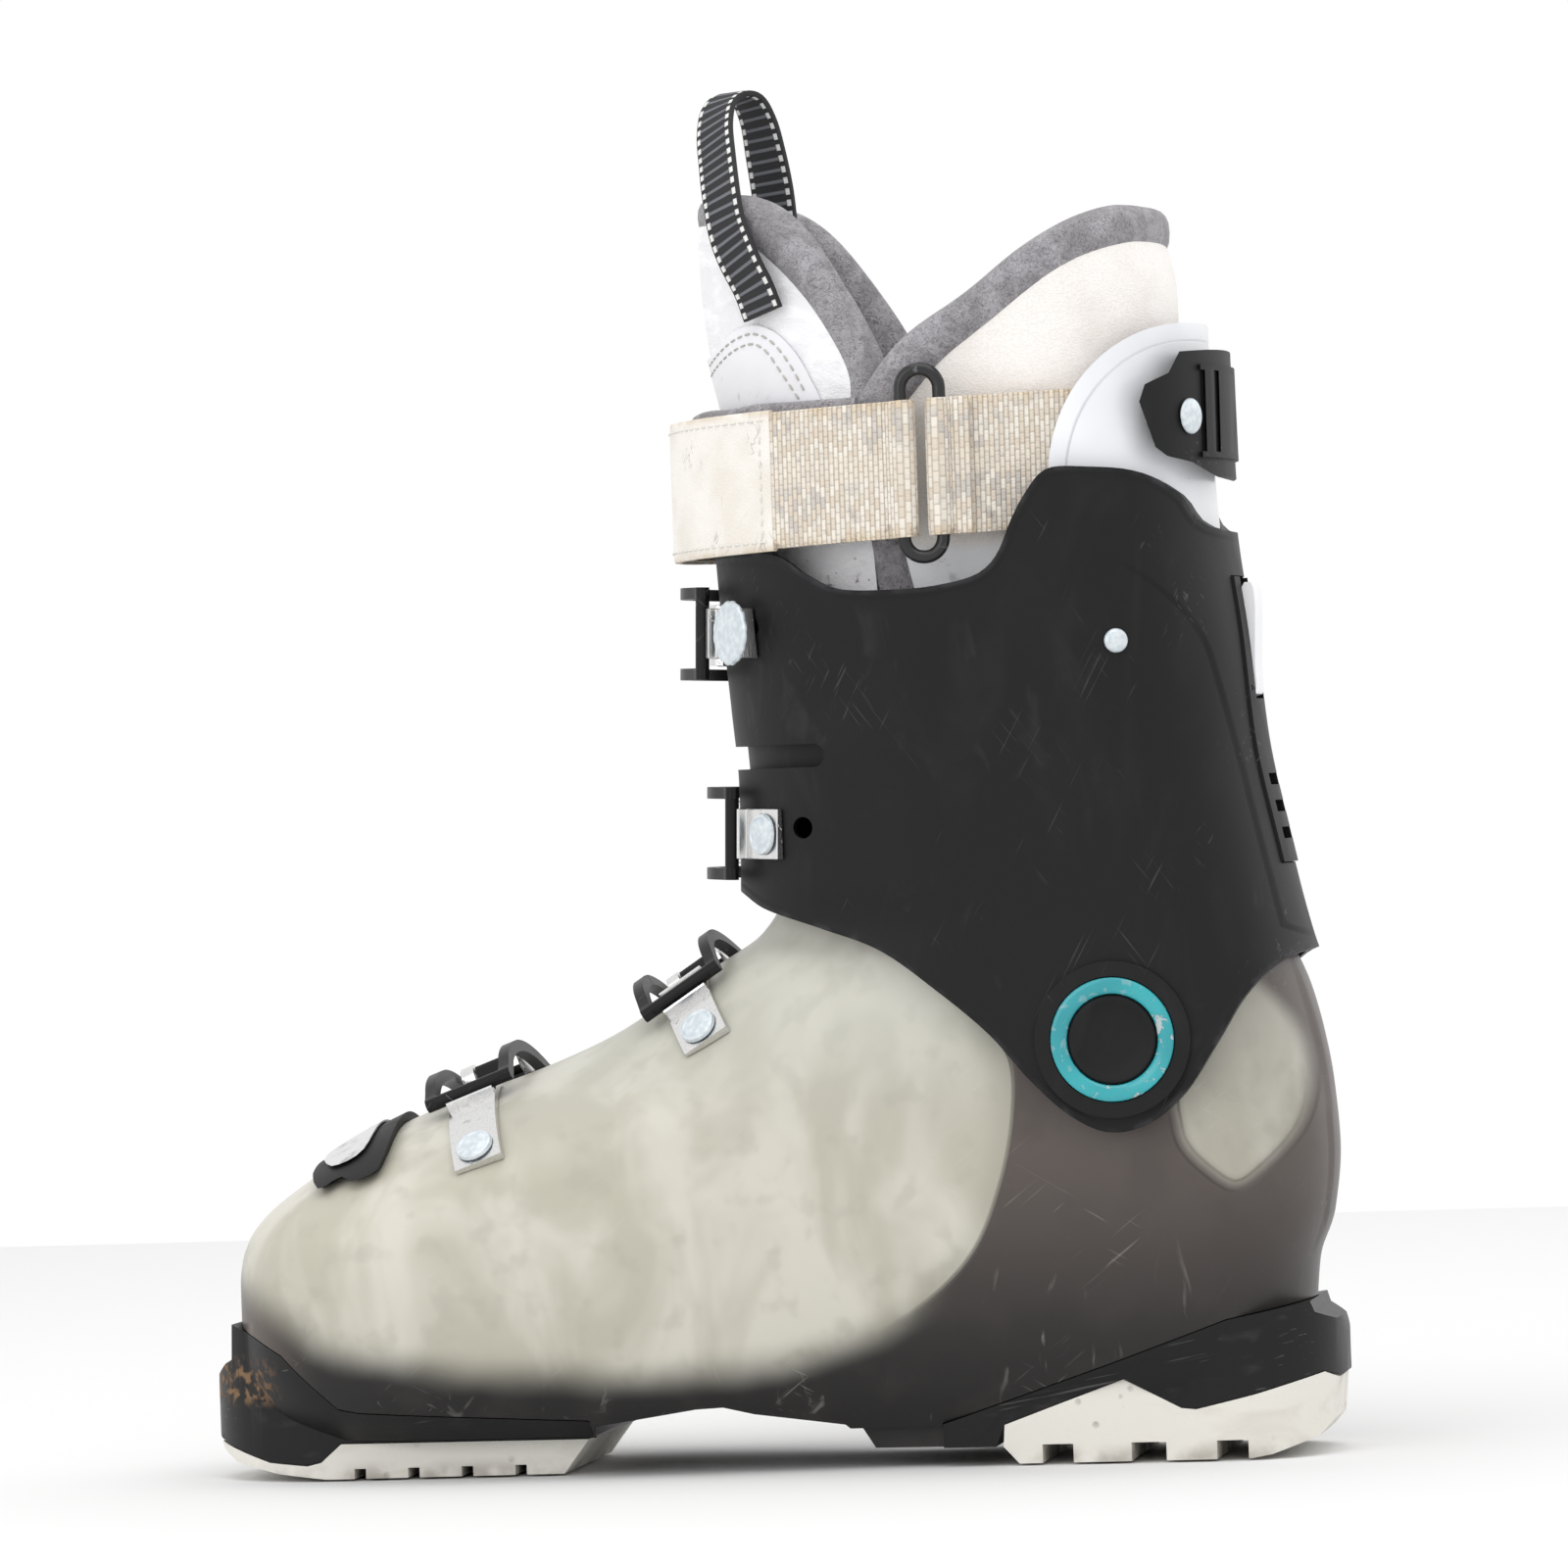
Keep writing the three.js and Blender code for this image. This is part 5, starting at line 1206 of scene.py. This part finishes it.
def seam_on(section, inset, line, name, finish, length=2.1, gap=0.9, flip=1):
    """Stitches along a side line lying on a section's surface."""
    path, out = [], []
    for x, z in line:
        s = section(z, inset)
        y = float(side_y(s, x))
        lean = float(side_y(s, x + 0.5) - side_y(s, x - 0.5))
        path.append([x, flip * y + float(toe_skew(x)), z])
        out.append([-lean, flip, 0])
    fine = resampled(path, 0.8)
    return piece(name, stitches(fine, np.array([out[len(out) // 2]] * len(fine)),
                                length, gap), "cuff", finish, sharp=80)


for k, drop in enumerate((2.2, 4.8)):
    arc = spline([[9, 288 - drop], [0, 293.6 - drop], [-6, 295 - drop], [-12 + 0.5 * drop, 293 - drop],
                  [-18 + drop, 286.6 - drop * 0.7], [-23.5 + drop, 275]], step=1.0)
    for label, flip in (("medial", 1), ("lateral", -1)):
        seam_on(tongue_at, -1.25, arc, f"patch_stitches_{label}_{k + 1}", grey_thread, flip=flip)

# %% [markdown]
# ## Power strap
# A woven strap closes the cuff's top. It runs under the spoiler and round the front, folds through a
# wire ring and comes back on itself to a leather tab. Webbing is modelled directly as one swept band,
# since remeshing for cloth would erase a two-millimetre strip; its weave comes from how far along and
# across the band each point lies.


# %% Webbing finishes
def strap_webbing():
    """Woven cells in rows: beige, off-white and grey yarns, with yellowed edges and dirt."""
    f = Finish("strap_webbing")
    f.place()
    along, up = f.mark("along"), f.mark("across")
    column = f.maths("FLOOR", along / 1.3)
    shift = f.maths("MODULO", column, 2) * 1.4
    row = f.maths("FLOOR", (up + shift) / 2.8)
    pick = f.maths("FRACT", f.maths("SINE", column * 12.9898 + row * 78.233) * 437.585)
    seam_u = (f.maths("FRACT", along / 1.3) - 0.5).size().rise(0.3, 0.5)
    seam_v = (f.maths("FRACT", (up + shift) / 2.8) - 0.5).size().rise(0.38, 0.5)
    yarn = f.blend(pick.rise(0.3, 0.5), tone(217, 205, 189), tone(232, 225, 213))
    greyed = pick.rise(0.6, 0.7) * f.noise(16, 3).rise(0.4, 0.58)
    yarn = f.blend(greyed * 0.7, yarn, tone(183, 177, 172))
    middle = (up - 1).line(2.8, 0.8)
    yarn = f.blend(middle * 0.6, yarn, tone(229, 219, 204))
    yellow = up.size().rise(13.5, 17.4) * f.noise(7, 3).rise(0.32, 0.62)
    yarn = f.blend(yellow * 0.55, yarn, tone(206, 183, 146))
    dirt = f.noise(4, 5).rise(0.55, 0.72) * (up.rise(-9, -17) * 0.8 + 0.15)
    yarn = f.blend(dirt.least(0.8), yarn, tone(150, 134, 118))
    yarn = f.blend(seam_u.most(seam_v) * 0.35, yarn, tone(150, 136, 120))
    ribs = (f.maths("FRACT", up / 0.7) - 0.5).size()
    height = 0.25 - seam_u * 0.22 - seam_v * 0.16 + ribs * 0.12 + f.noise(0.5, 2) * 0.1
    return f.done(yarn, 0.82, height, Sheen_Weight=0.15)


def loop_webbing():
    """Black webbing with a ladder of grey cross stripes and white dashes along both edges."""
    f = Finish("loop_webbing")
    along, up = f.mark("along"), f.mark("across")
    rung = (f.maths("FRACT", along / 2.9) - 0.5).size()
    stripe = rung.rise(0.2, 0.12) * up.size().rise(4.9, 4.6)
    dash = rung.rise(0.32, 0.24) * (up.size() - 5.2).line(0.55, 0.15)
    colour = f.blend(stripe, tone(34, 34, 37), tone(104, 106, 112))
    colour = f.blend(dash, colour, tone(224, 224, 222))
    ribs = (f.maths("FRACT", along / 0.72) - 0.5).size()
    return f.done(colour, 0.75, stripe * 0.3 + dash * 0.25 + ribs * 0.12 + f.noise(0.5, 2) * 0.08)


def tab_leather():
    f = Finish("tab_leather")
    f.place()
    grain = f.specks(0.9, (1, 1, 1), "DISTANCE_TO_EDGE")
    crack = (f.noise(11, 3, (1, 1, 2), 1.5) - 0.5).line(0.004, 0.008) * f.noise(14, 2).rise(0.5, 0.62)
    edge = f.mark("across").size().rise(15.6, 18)
    colour = f.blend(f.noise(15, 4).rise(0.35, 0.7), tone(238, 234, 228), tone(228, 222, 213))
    colour = f.blend(edge * f.noise(5, 3).rise(0.3, 0.6) * 0.6, colour, tone(203, 183, 152))
    colour = f.blend(crack * 0.5, colour, tone(168, 158, 146))
    return f.done(colour, 0.55, grain.rise(0, 0.2) * 0.05 - crack * 0.1)


webbing = strap_webbing()
print("finishes: strap and loop webbing, tab leather")

# %% Strap route
STRAP_LOW, STRAP_WIDE, STRAP_RISE = 235.5, 35.0, 0.04
RING = {"front": -47.0, "back": -57.0, "y": 53.0, "low": 233.0, "high": 281.0, "wire": 1.7}


def strap_loop(inset):
    """Closed plan of the strap at one inset: right round the boot, from the toe side inwards."""
    s = cuff_at(256, 8.3 + inset)
    half = s["half"]
    s.update({"front": 18.4 - inset, "front_cap": 64 - 0.6 * inset,
              "half": lambda x: half(x) + 3 * ease((x + 84) / 24)})
    return loop(s, 0, (60, 30, 50))[:, :2]


def route(points):
    """Strap path in space: plan points lifted to the strap's middle height, which rises to the back."""
    p = resampled(np.column_stack([points, np.zeros(len(points))]), 1.0)
    p[:, 2] = STRAP_LOW + STRAP_WIDE / 2 + STRAP_RISE * (18 - p[:, 0])
    flat = np.gradient(p[:, :2], axis=0)
    flat /= np.linalg.norm(flat, axis=1)[:, None]
    out = np.column_stack([flat[:, 1], -flat[:, 0], np.zeros(len(p))])
    return p, out


def ribbon(points, thick, wide):
    path, out = route(points)
    rising = np.tile([0.0, 0.0, 1.0], (len(path), 1))
    return sweep(path, out, rising, oval(thick, wide, 28, 9))


def round_bar(x, start, stop, radius):
    a = np.radians(np.linspace(start, stop, 14))
    return np.column_stack([x + radius * np.cos(a), RING["y"] + radius * np.sin(a)])


plan = strap_loop(1.0)
count = len(plan)
outer = strap_loop(-1.45)
fold = RING["wire"] + 1.15
near = plan[: count // 2 + 1]
far = plan[count // 2:]
front_part = near[near[:, 0] > RING["front"] + 3]
back_part = near[near[:, 0] < RING["back"] - 3]
lateral_part = far[1:]
doubled = outer[: count // 2 + 1]
doubled = doubled[(doubled[:, 0] > RING["front"] + 3) & (doubled[:, 0] < -11)]
stub = outer[: count // 2 + 1]
stub = stub[(stub[:, 0] > RING["back"] - 8) & (stub[:, 0] < RING["back"] - 2)]
main = np.vstack([stub[::-1], round_bar(RING["back"], 90, -90, fold), back_part, lateral_part, front_part,
                  round_bar(RING["front"], 270, 90, fold), doubled[::-1]])
print("strap route:", round(float(np.linalg.norm(np.diff(main, axis=0), axis=1).sum())), "mm")

# %% Strap pieces
piece("strap_webbing_band", ribbon(main, 2.0, STRAP_WIDE), "cuff", webbing, "power_strap", 50)
tab_plan = strap_loop(-1.7)
tab_near = tab_plan[: count // 2 + 1]
tab_far = tab_plan[count // 2:]
tab = np.vstack([tab_far[(tab_far[:, 1] > -24) & (tab_far[:, 0] > -13)], tab_near[tab_near[:, 0] > -12.7]])
tab_band = ribbon(tab, 2.3, STRAP_WIDE + 1.2)
piece("strap_end_tab", tab_band, "cuff", tab_leather(), "strap_tab", 50)
tab_path, tab_out = route(tab)
for k, drop in enumerate((15.6, -15.6)):
    lift = tab_path + tab_out * 1.2 + np.array([0, 0, drop])
    piece(f"tab_stitches_{k + 1}", stitches(lift, tab_out), "cuff", pale_thread, sharp=80)
end = tab_path[-4] + tab_out[-4] * 1.2
column = np.linspace(end + [0, 0, -15], end + [0, 0, 15], 30)
piece("tab_stitches_3", stitches(column, np.tile(tab_out[-4], (30, 1))), "cuff", pale_thread, sharp=80)

# %% [markdown]
# ## Ring and pad
# The ring is bent from black wire with straight bars for the webbing. Behind the strap, a grey padding
# strip keeps it off the shin; it is a foam pad, so its upper edge swells and wanders.


# %% Ring and pad
def tube(path, radius, sides=14, closed=False):
    p = np.asarray(path, float)
    along = np.roll(p, -1, 0) - np.roll(p, 1, 0) if closed else np.gradient(p, axis=0)
    along /= np.linalg.norm(along, axis=1)[:, None]
    first = np.cross(along[0], [0, 1, 0.1])
    out = [first / np.linalg.norm(first)]
    for t in along[1:]:
        v = out[-1] - t * out[-1].dot(t)
        out.append(v / np.linalg.norm(v))
    out = np.array(out)
    a = np.linspace(0, 2 * math.pi, sides, endpoint=False)
    return sweep(p, out, np.cross(along, out), radius * np.column_stack([np.cos(a), np.sin(a)]), closed)


def coated_wire():
    f = Finish("coated_wire")
    worn = f.noise(3, 4).rise(0.62, 0.7)
    colour = f.blend(worn * 0.7, tone(28, 28, 30), tone(112, 112, 114))
    return f.done(colour, 0.3 + worn * 0.2, f.noise(1.2, 3) * 0.04, metal=0.35, coat=0.3)


wire = coated_wire()
centre, bend = (RING["front"] + RING["back"]) / 2, (RING["front"] - RING["back"]) / 2
arc = np.radians(np.linspace(0, 180, 20))
top = np.column_stack([centre + bend * np.cos(arc), np.full(20, RING["y"]),
                       RING["high"] - bend + bend * np.sin(arc)])
low = np.column_stack([centre - bend * np.cos(arc), np.full(20, RING["y"]),
                       RING["low"] + bend - bend * np.sin(arc)])
piece("strap_wire_ring", tube(np.vstack([top, low]), 1.7, 16, True), "cuff", wire, "strap_ring", 60)


def swelling_pad():
    plan_in = strap_loop(4.4)
    near_in, far_in = plan_in[: count // 2 + 1], plan_in[count // 2:]
    both = np.vstack([far_in[(far_in[:, 0] > -35)], near_in[near_in[:, 0] > -35]])
    path, out = route(both)
    rng = np.random.default_rng(3)
    wander = np.convolve(rng.normal(0, 1, len(path) + 24), np.hanning(25) / 5, "valid")[: len(path)]
    path[:, 2] += 2.2 + 0.5 * wander
    return sweep(path, out, np.tile([0.0, 0.0, 1.0], (len(path), 1)), oval(3.6, 35.5, 28, 5))


pad_piece = piece("strap_backing", swelling_pad(), "cuff", fur, "strap_pad", 70)

# %% [markdown]
# ## Pull loop
# A webbing loop on the tongue lets a hand pull it up. Its front strand is sewn outside the panel, and
# it bends over the rim to the inside. The band is swept along a spline whose width turns with it.

# %% Pull loop
loop_points = [[-9.6, 35, 297.5], [-7.4, 35, 304], [-4, 34.3, 311], [-0.4, 31.4, 320], [1.3, 28.8, 329],
               [3, 23.4, 339], [4.2, 17.6, 347.5], [3.6, 12.6, 353.6], [1, 8.8, 356.4],
               [-2.5, 6.2, 355.6], [-5, 4.2, 350], [-6.6, 3.2, 341], [-8, 2.4, 331], [-8.6, 2.2, 322]]
path = softened(spline(loop_points, step=1.0), 4)
turning = curve([0, 0.52], [0.23, 0.68], [0.6, 0.95], [0.85, 0.5], [1, 0.4])
wide = np.array([[1, -turning(t), 0] for t in np.linspace(0, 1, len(path))])
along = np.gradient(path, axis=0)
along /= np.linalg.norm(along, axis=1)[:, None]
wide -= along * (wide * along).sum(1)[:, None]
wide /= np.linalg.norm(wide, axis=1)[:, None]
loop_band = sweep(path, np.cross(wide, along), wide, oval(1.8, 12.6, 24, 7))
piece("pull_loop_band", loop_band, "cuff", loop_webbing(), "pull_loop", 50)

# %% [markdown]
# ## Buckles
# Each buckle is a lever on a riveted base, a wire bail and a toothed ladder. Pulling the lever over its
# centre draws the bail tight and locks it. They are laid out along the shell's own girth, in
# millimetres round it and above it, so that base, bail and ladder follow the curve they sit on.


# %% Buckle finishes
def bright_alloy():
    """Pressed and polished light alloy with fine brush lines and knocks."""
    f = Finish("bright_alloy")
    brush = f.noise(0.5, 2, (1, 1, 14))
    knock = f.noise(2.6, 4).rise(0.64, 0.72)
    colour = f.blend(brush, tone(208, 208, 208), tone(236, 235, 234))
    colour = f.blend(knock * 0.35, colour, tone(150, 147, 143))
    return f.done(colour, 0.16 + brush * 0.1 + knock * 0.2, brush * 0.03 - knock * 0.08, metal=1.0)


alloy = bright_alloy()
frame_black = hard_black("frame_black", (24, 24, 26), 0.38, 0.6)


# %% Girth layout
def girth(section, origin, tilt):
    """Maps (s round the shell, h above it) to (p, q) in the buckle's own tipped plane."""
    near = []
    for q in np.arange(12, -62, -0.25):
        x, z = origin[0] + q * math.sin(tilt), origin[1] + q * math.cos(tilt)
        s = section(z, 0)
        y = float(side_y(s, x)) if x > s["back"] + s["back_cap"] else 0
        if y > 0:
            near.append([y, q, float(toe_skew(x))])
    near = np.array(near)
    path = np.vstack([np.column_stack([near[::-1, 2] - near[::-1, 0], near[::-1, 1]]),
                      np.column_stack([near[:, 2] + near[:, 0], near[:, 1]])])
    run = np.concatenate([[0], np.cumsum(np.linalg.norm(np.diff(path, axis=0), axis=1))])
    middle = (run[len(near) - 1] + run[len(near)]) / 2

    def at(s, h):
        spot = lambda t: np.array([np.interp(t + middle, run, path[:, k]) for k in (0, 1)])
        way = spot(s + 3) - spot(s - 3)
        way /= np.linalg.norm(way)
        return spot(s) + np.array([-way[1], way[0]]) * h

    return at


class Buckle:
    def __init__(self, label, section, origin, tilt, lift, end, radius, rides):
        self.label, self.lift, self.end, self.radius, self.rides = label, lift, end, radius, rides
        self.at = girth(section, origin, math.radians(tilt))
        turn_over = Matrix(((0, -1, 0, 0), (1, 0, 0, 0), (0, 0, 1, 0), (0, 0, 0, 1)))
        stand = Matrix.Translation((origin[0], 0, origin[1])) @ Matrix.Rotation(math.radians(tilt), 4, "Y")
        self.stand = stand @ turn_over
        self.skin = body(section, -GAP, origin[1] - 60, origin[1] + 40, 4)

    def line(self, points, smooth=False):
        points = spline(points, step=1.2) if smooth else points
        return [self.at(s, h) for s, h in points]

    def plate(self, points, wide, shift=0.0, smooth=False):
        made = prism(self.line(points, smooth), shift - wide / 2, shift + wide / 2)
        made.transform(self.stand)
        return made

    def rod(self, s, h, radius, wide):
        made = disc(*self.at(s, h), radius, -wide / 2, wide / 2, 28)
        made.transform(self.stand)
        return made

    def put(self, label, mesh, rides, finish, bevel, stands_for=None):
        return piece(self.label + label, mesh, rides, finish, self.label + (stands_for or label), 35, bevel)


# %% Buckle parts
TEETH = (13.5, 18, 23.8)
PIN_S, BAR_S, HOOK_S = -17, -31, 20.9


def ladder(b):
    top = 2.2 + b.lift
    edge = [[10.5, -4], [10, top]]
    for s in TEETH:
        edge += [[s - 2, top], [s - 1.2, top + 0.9], [s - 0.3, top + 2.2], [s + 0.5, top + 2.45],
                 [s + 0.9, top + 2.1], [s + 1, top]]
    edge += [[s, top] for s in np.arange(27, b.end - 3, 3)] + [[b.end, top], [b.end + 0.5, -4]]
    made = b.plate([*edge, *[[s, -4] for s in np.arange(b.end - 5, 13, -5)]], 13)
    return cut(made, b.skin.copy())


def ladder_rivet(b):
    s, h = b.end - (4 if b.lift else 5.5), 2.2 + b.lift
    (p, q), (p2, q2) = b.at(s, h + GAP), b.at(s, h + 3)
    r = b.radius
    head = spun([(0.01, 0), (r, 0), (r, 0.45), (r * 0.95, 0.95), (r * 0.8, 1.15), (r * 0.74, 0.95),
                 (r * 0.45, 1.3), (0.01, 1.45)])
    if b.lift:
        co = coordinates(head)
        a = np.arctan2(co[:, 0], co[:, 2])
        far = np.hypot(co[:, 0], co[:, 2])
        co[:, [0, 2]] *= np.where(far > r * 0.85, 1 - 0.045 * (0.5 + 0.5 * np.cos(16 * a)), 1)[:, None]
        head.vertices.foreach_set("co", co.reshape(-1))
    head.transform(Matrix.Rotation(math.pi / 2, 4, "X"))
    head.transform(Matrix.Translation((p, 0, q)) @ Matrix.Rotation(math.atan2(p2 - p, q2 - q), 4, "Y"))
    head.transform(b.stand)
    return head


def base(b):
    foot = [[-42, 2.2], [-44, -4], [-30, -4], [-11, -4], [-12, 2.2], [-22, 2.2], [-32, 2.2]]
    lug = [[-42, 2.2], [-44, -4], [-30, -4], [-11, -4], [-12, 2.2], [-13.2, 2.2], [-14, 8], [-15, 9.3],
           [-17, 9.8], [-19.2, 9.3], [-20.5, 8], [-21.5, 2.2], [-32, 2.2]]
    made = join(b.plate(lug, 8), b.plate(foot, 17))
    return cut(made, b.skin.copy(), b.rod(PIN_S, 6.6, 2.3, 40))


def lever(b):
    edge = [[-13.4, 5], [-13.1, 7], [-14.2, 9.2], [-16, 10.4], [-22, 11.4], [-31, 11.2], [-40, 9.2],
            [-50, 8.4], [-56, 9.2], [-58, 10.6], [-59, 9.6], [-56.5, 6.6], [-50, 4.8], [-40, 4.4],
            [-31, 3.6], [-24, 3.4], [-18, 3], [-15.4, 3.4]]
    slot = [[-10, 2], [-10, 13], [-17, 13.5], [-24, 13.5], [-24.5, 8], [-24, 2], [-17, 1.5]]
    made = b.plate(spline(edge, True, 1.2).tolist(), 16)
    window = [[-36, 1], [-36, 14], [-42, 13], [-48, 12], [-48, 2]]
    made = cut(made, b.plate(slot, 8.8), b.plate(window, 6))
    return cut(made, b.rod(BAR_S, 7.4, 2.0, 40), b.rod(PIN_S, 6.6, 2.3, 40))


def bail(b):
    up = b.lift
    centre = [[BAR_S, 7.4], [-24, 7.6], [-14, 7.8 + up * 0.6], [-4, 7.6 + up], [5, 7.2 + up],
              [12, 6.4 + up], [17, 5.2 + up], [HOOK_S, 4.6 + up]]
    centre = spline(centre, step=1.5)
    arm = [*[[s, h + 1.6] for s, h in centre], [HOOK_S + 1.6, 5.6 + up], [HOOK_S + 2, 4.4 + up],
           *[[s, h - 1.6] for s, h in centre[::-1]]]
    made = join(b.plate(arm, 3, 10.5), b.plate(arm, 3, -10.5))
    made = join(made, b.rod(HOOK_S, 4.6 + up, 1.8, 24), b.rod(BAR_S, 7.4, 1.7, 24))
    return made


# %% Four buckles
buckles = [Buckle("toe", shell_at, (76.3, 98.8), 20.5, 0, 51.5, 5, "shell"),
           Buckle("instep", shell_at, (21, 125.2), 33, 0, 40.5, 5, "shell"),
           Buckle("lower_cuff", cuff_at, (6.2, 164), 88, 0, 39.5, 5.4, "cuff"),
           Buckle("upper_cuff", cuff_at, (8.8, 216), 88, 2.5, 38.5, 8.5, "cuff")]
for b in buckles:
    b.put("_ladder_plate", ladder(b), b.rides, alloy, 0.35, "_ladder")
    b.put("_ladder_boss", ladder_rivet(b), b.rides, plated, 0, "_ladder_rivet")
    b.put("_hinge_foot", base(b), b.rides, black, 0.4, "_buckle_base")
    b.put("_hinge_pin", b.rod(PIN_S, 6.6, 2, 16.4), b.rides, alloy, 0.3, "_lever_pin")
    b.put("_handle", lever(b), b.label + "_lever", alloy, 0.45, "_lever")
    b.put("_wire_bail", bail(b), b.label + "_bail", frame_black, 0.7, "_bail")

# %% [markdown]
# ## What lies inside
# The foot of the liner, its ankle and the boards are plain solids of the frame that a look into the
# boot still reaches, so they keep their shape and get a real finish.


# %% Inner finishes
def board_finish():
    f = Finish("boot_board")
    return f.done(f.blend(f.noise(4, 3), tone(52, 52, 55), tone(66, 66, 70)), 0.7, f.noise(1.2, 3) * 0.1)


def footbed_finish():
    f = Finish("footbed")
    pile = f.noise(0.8, 3)
    return f.done(f.blend(pile, tone(92, 106, 112), tone(128, 140, 146)), 0.95, pile * 0.3)


for label, finish in (("liner_foot", cloth), ("liner_ankle_bellows", cloth), ("insole", footbed_finish()),
                      ("boot_board", board_finish()), ("walk_catch", plated), ("walk_lever_pin", alloy)):
    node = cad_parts[label]
    node.data.materials.clear()
    node.data.materials.append(finish)
    node.data.shade_smooth()
    node.data.set_sharp_from_angle(angle=math.radians(35))
print("inner solids finished")
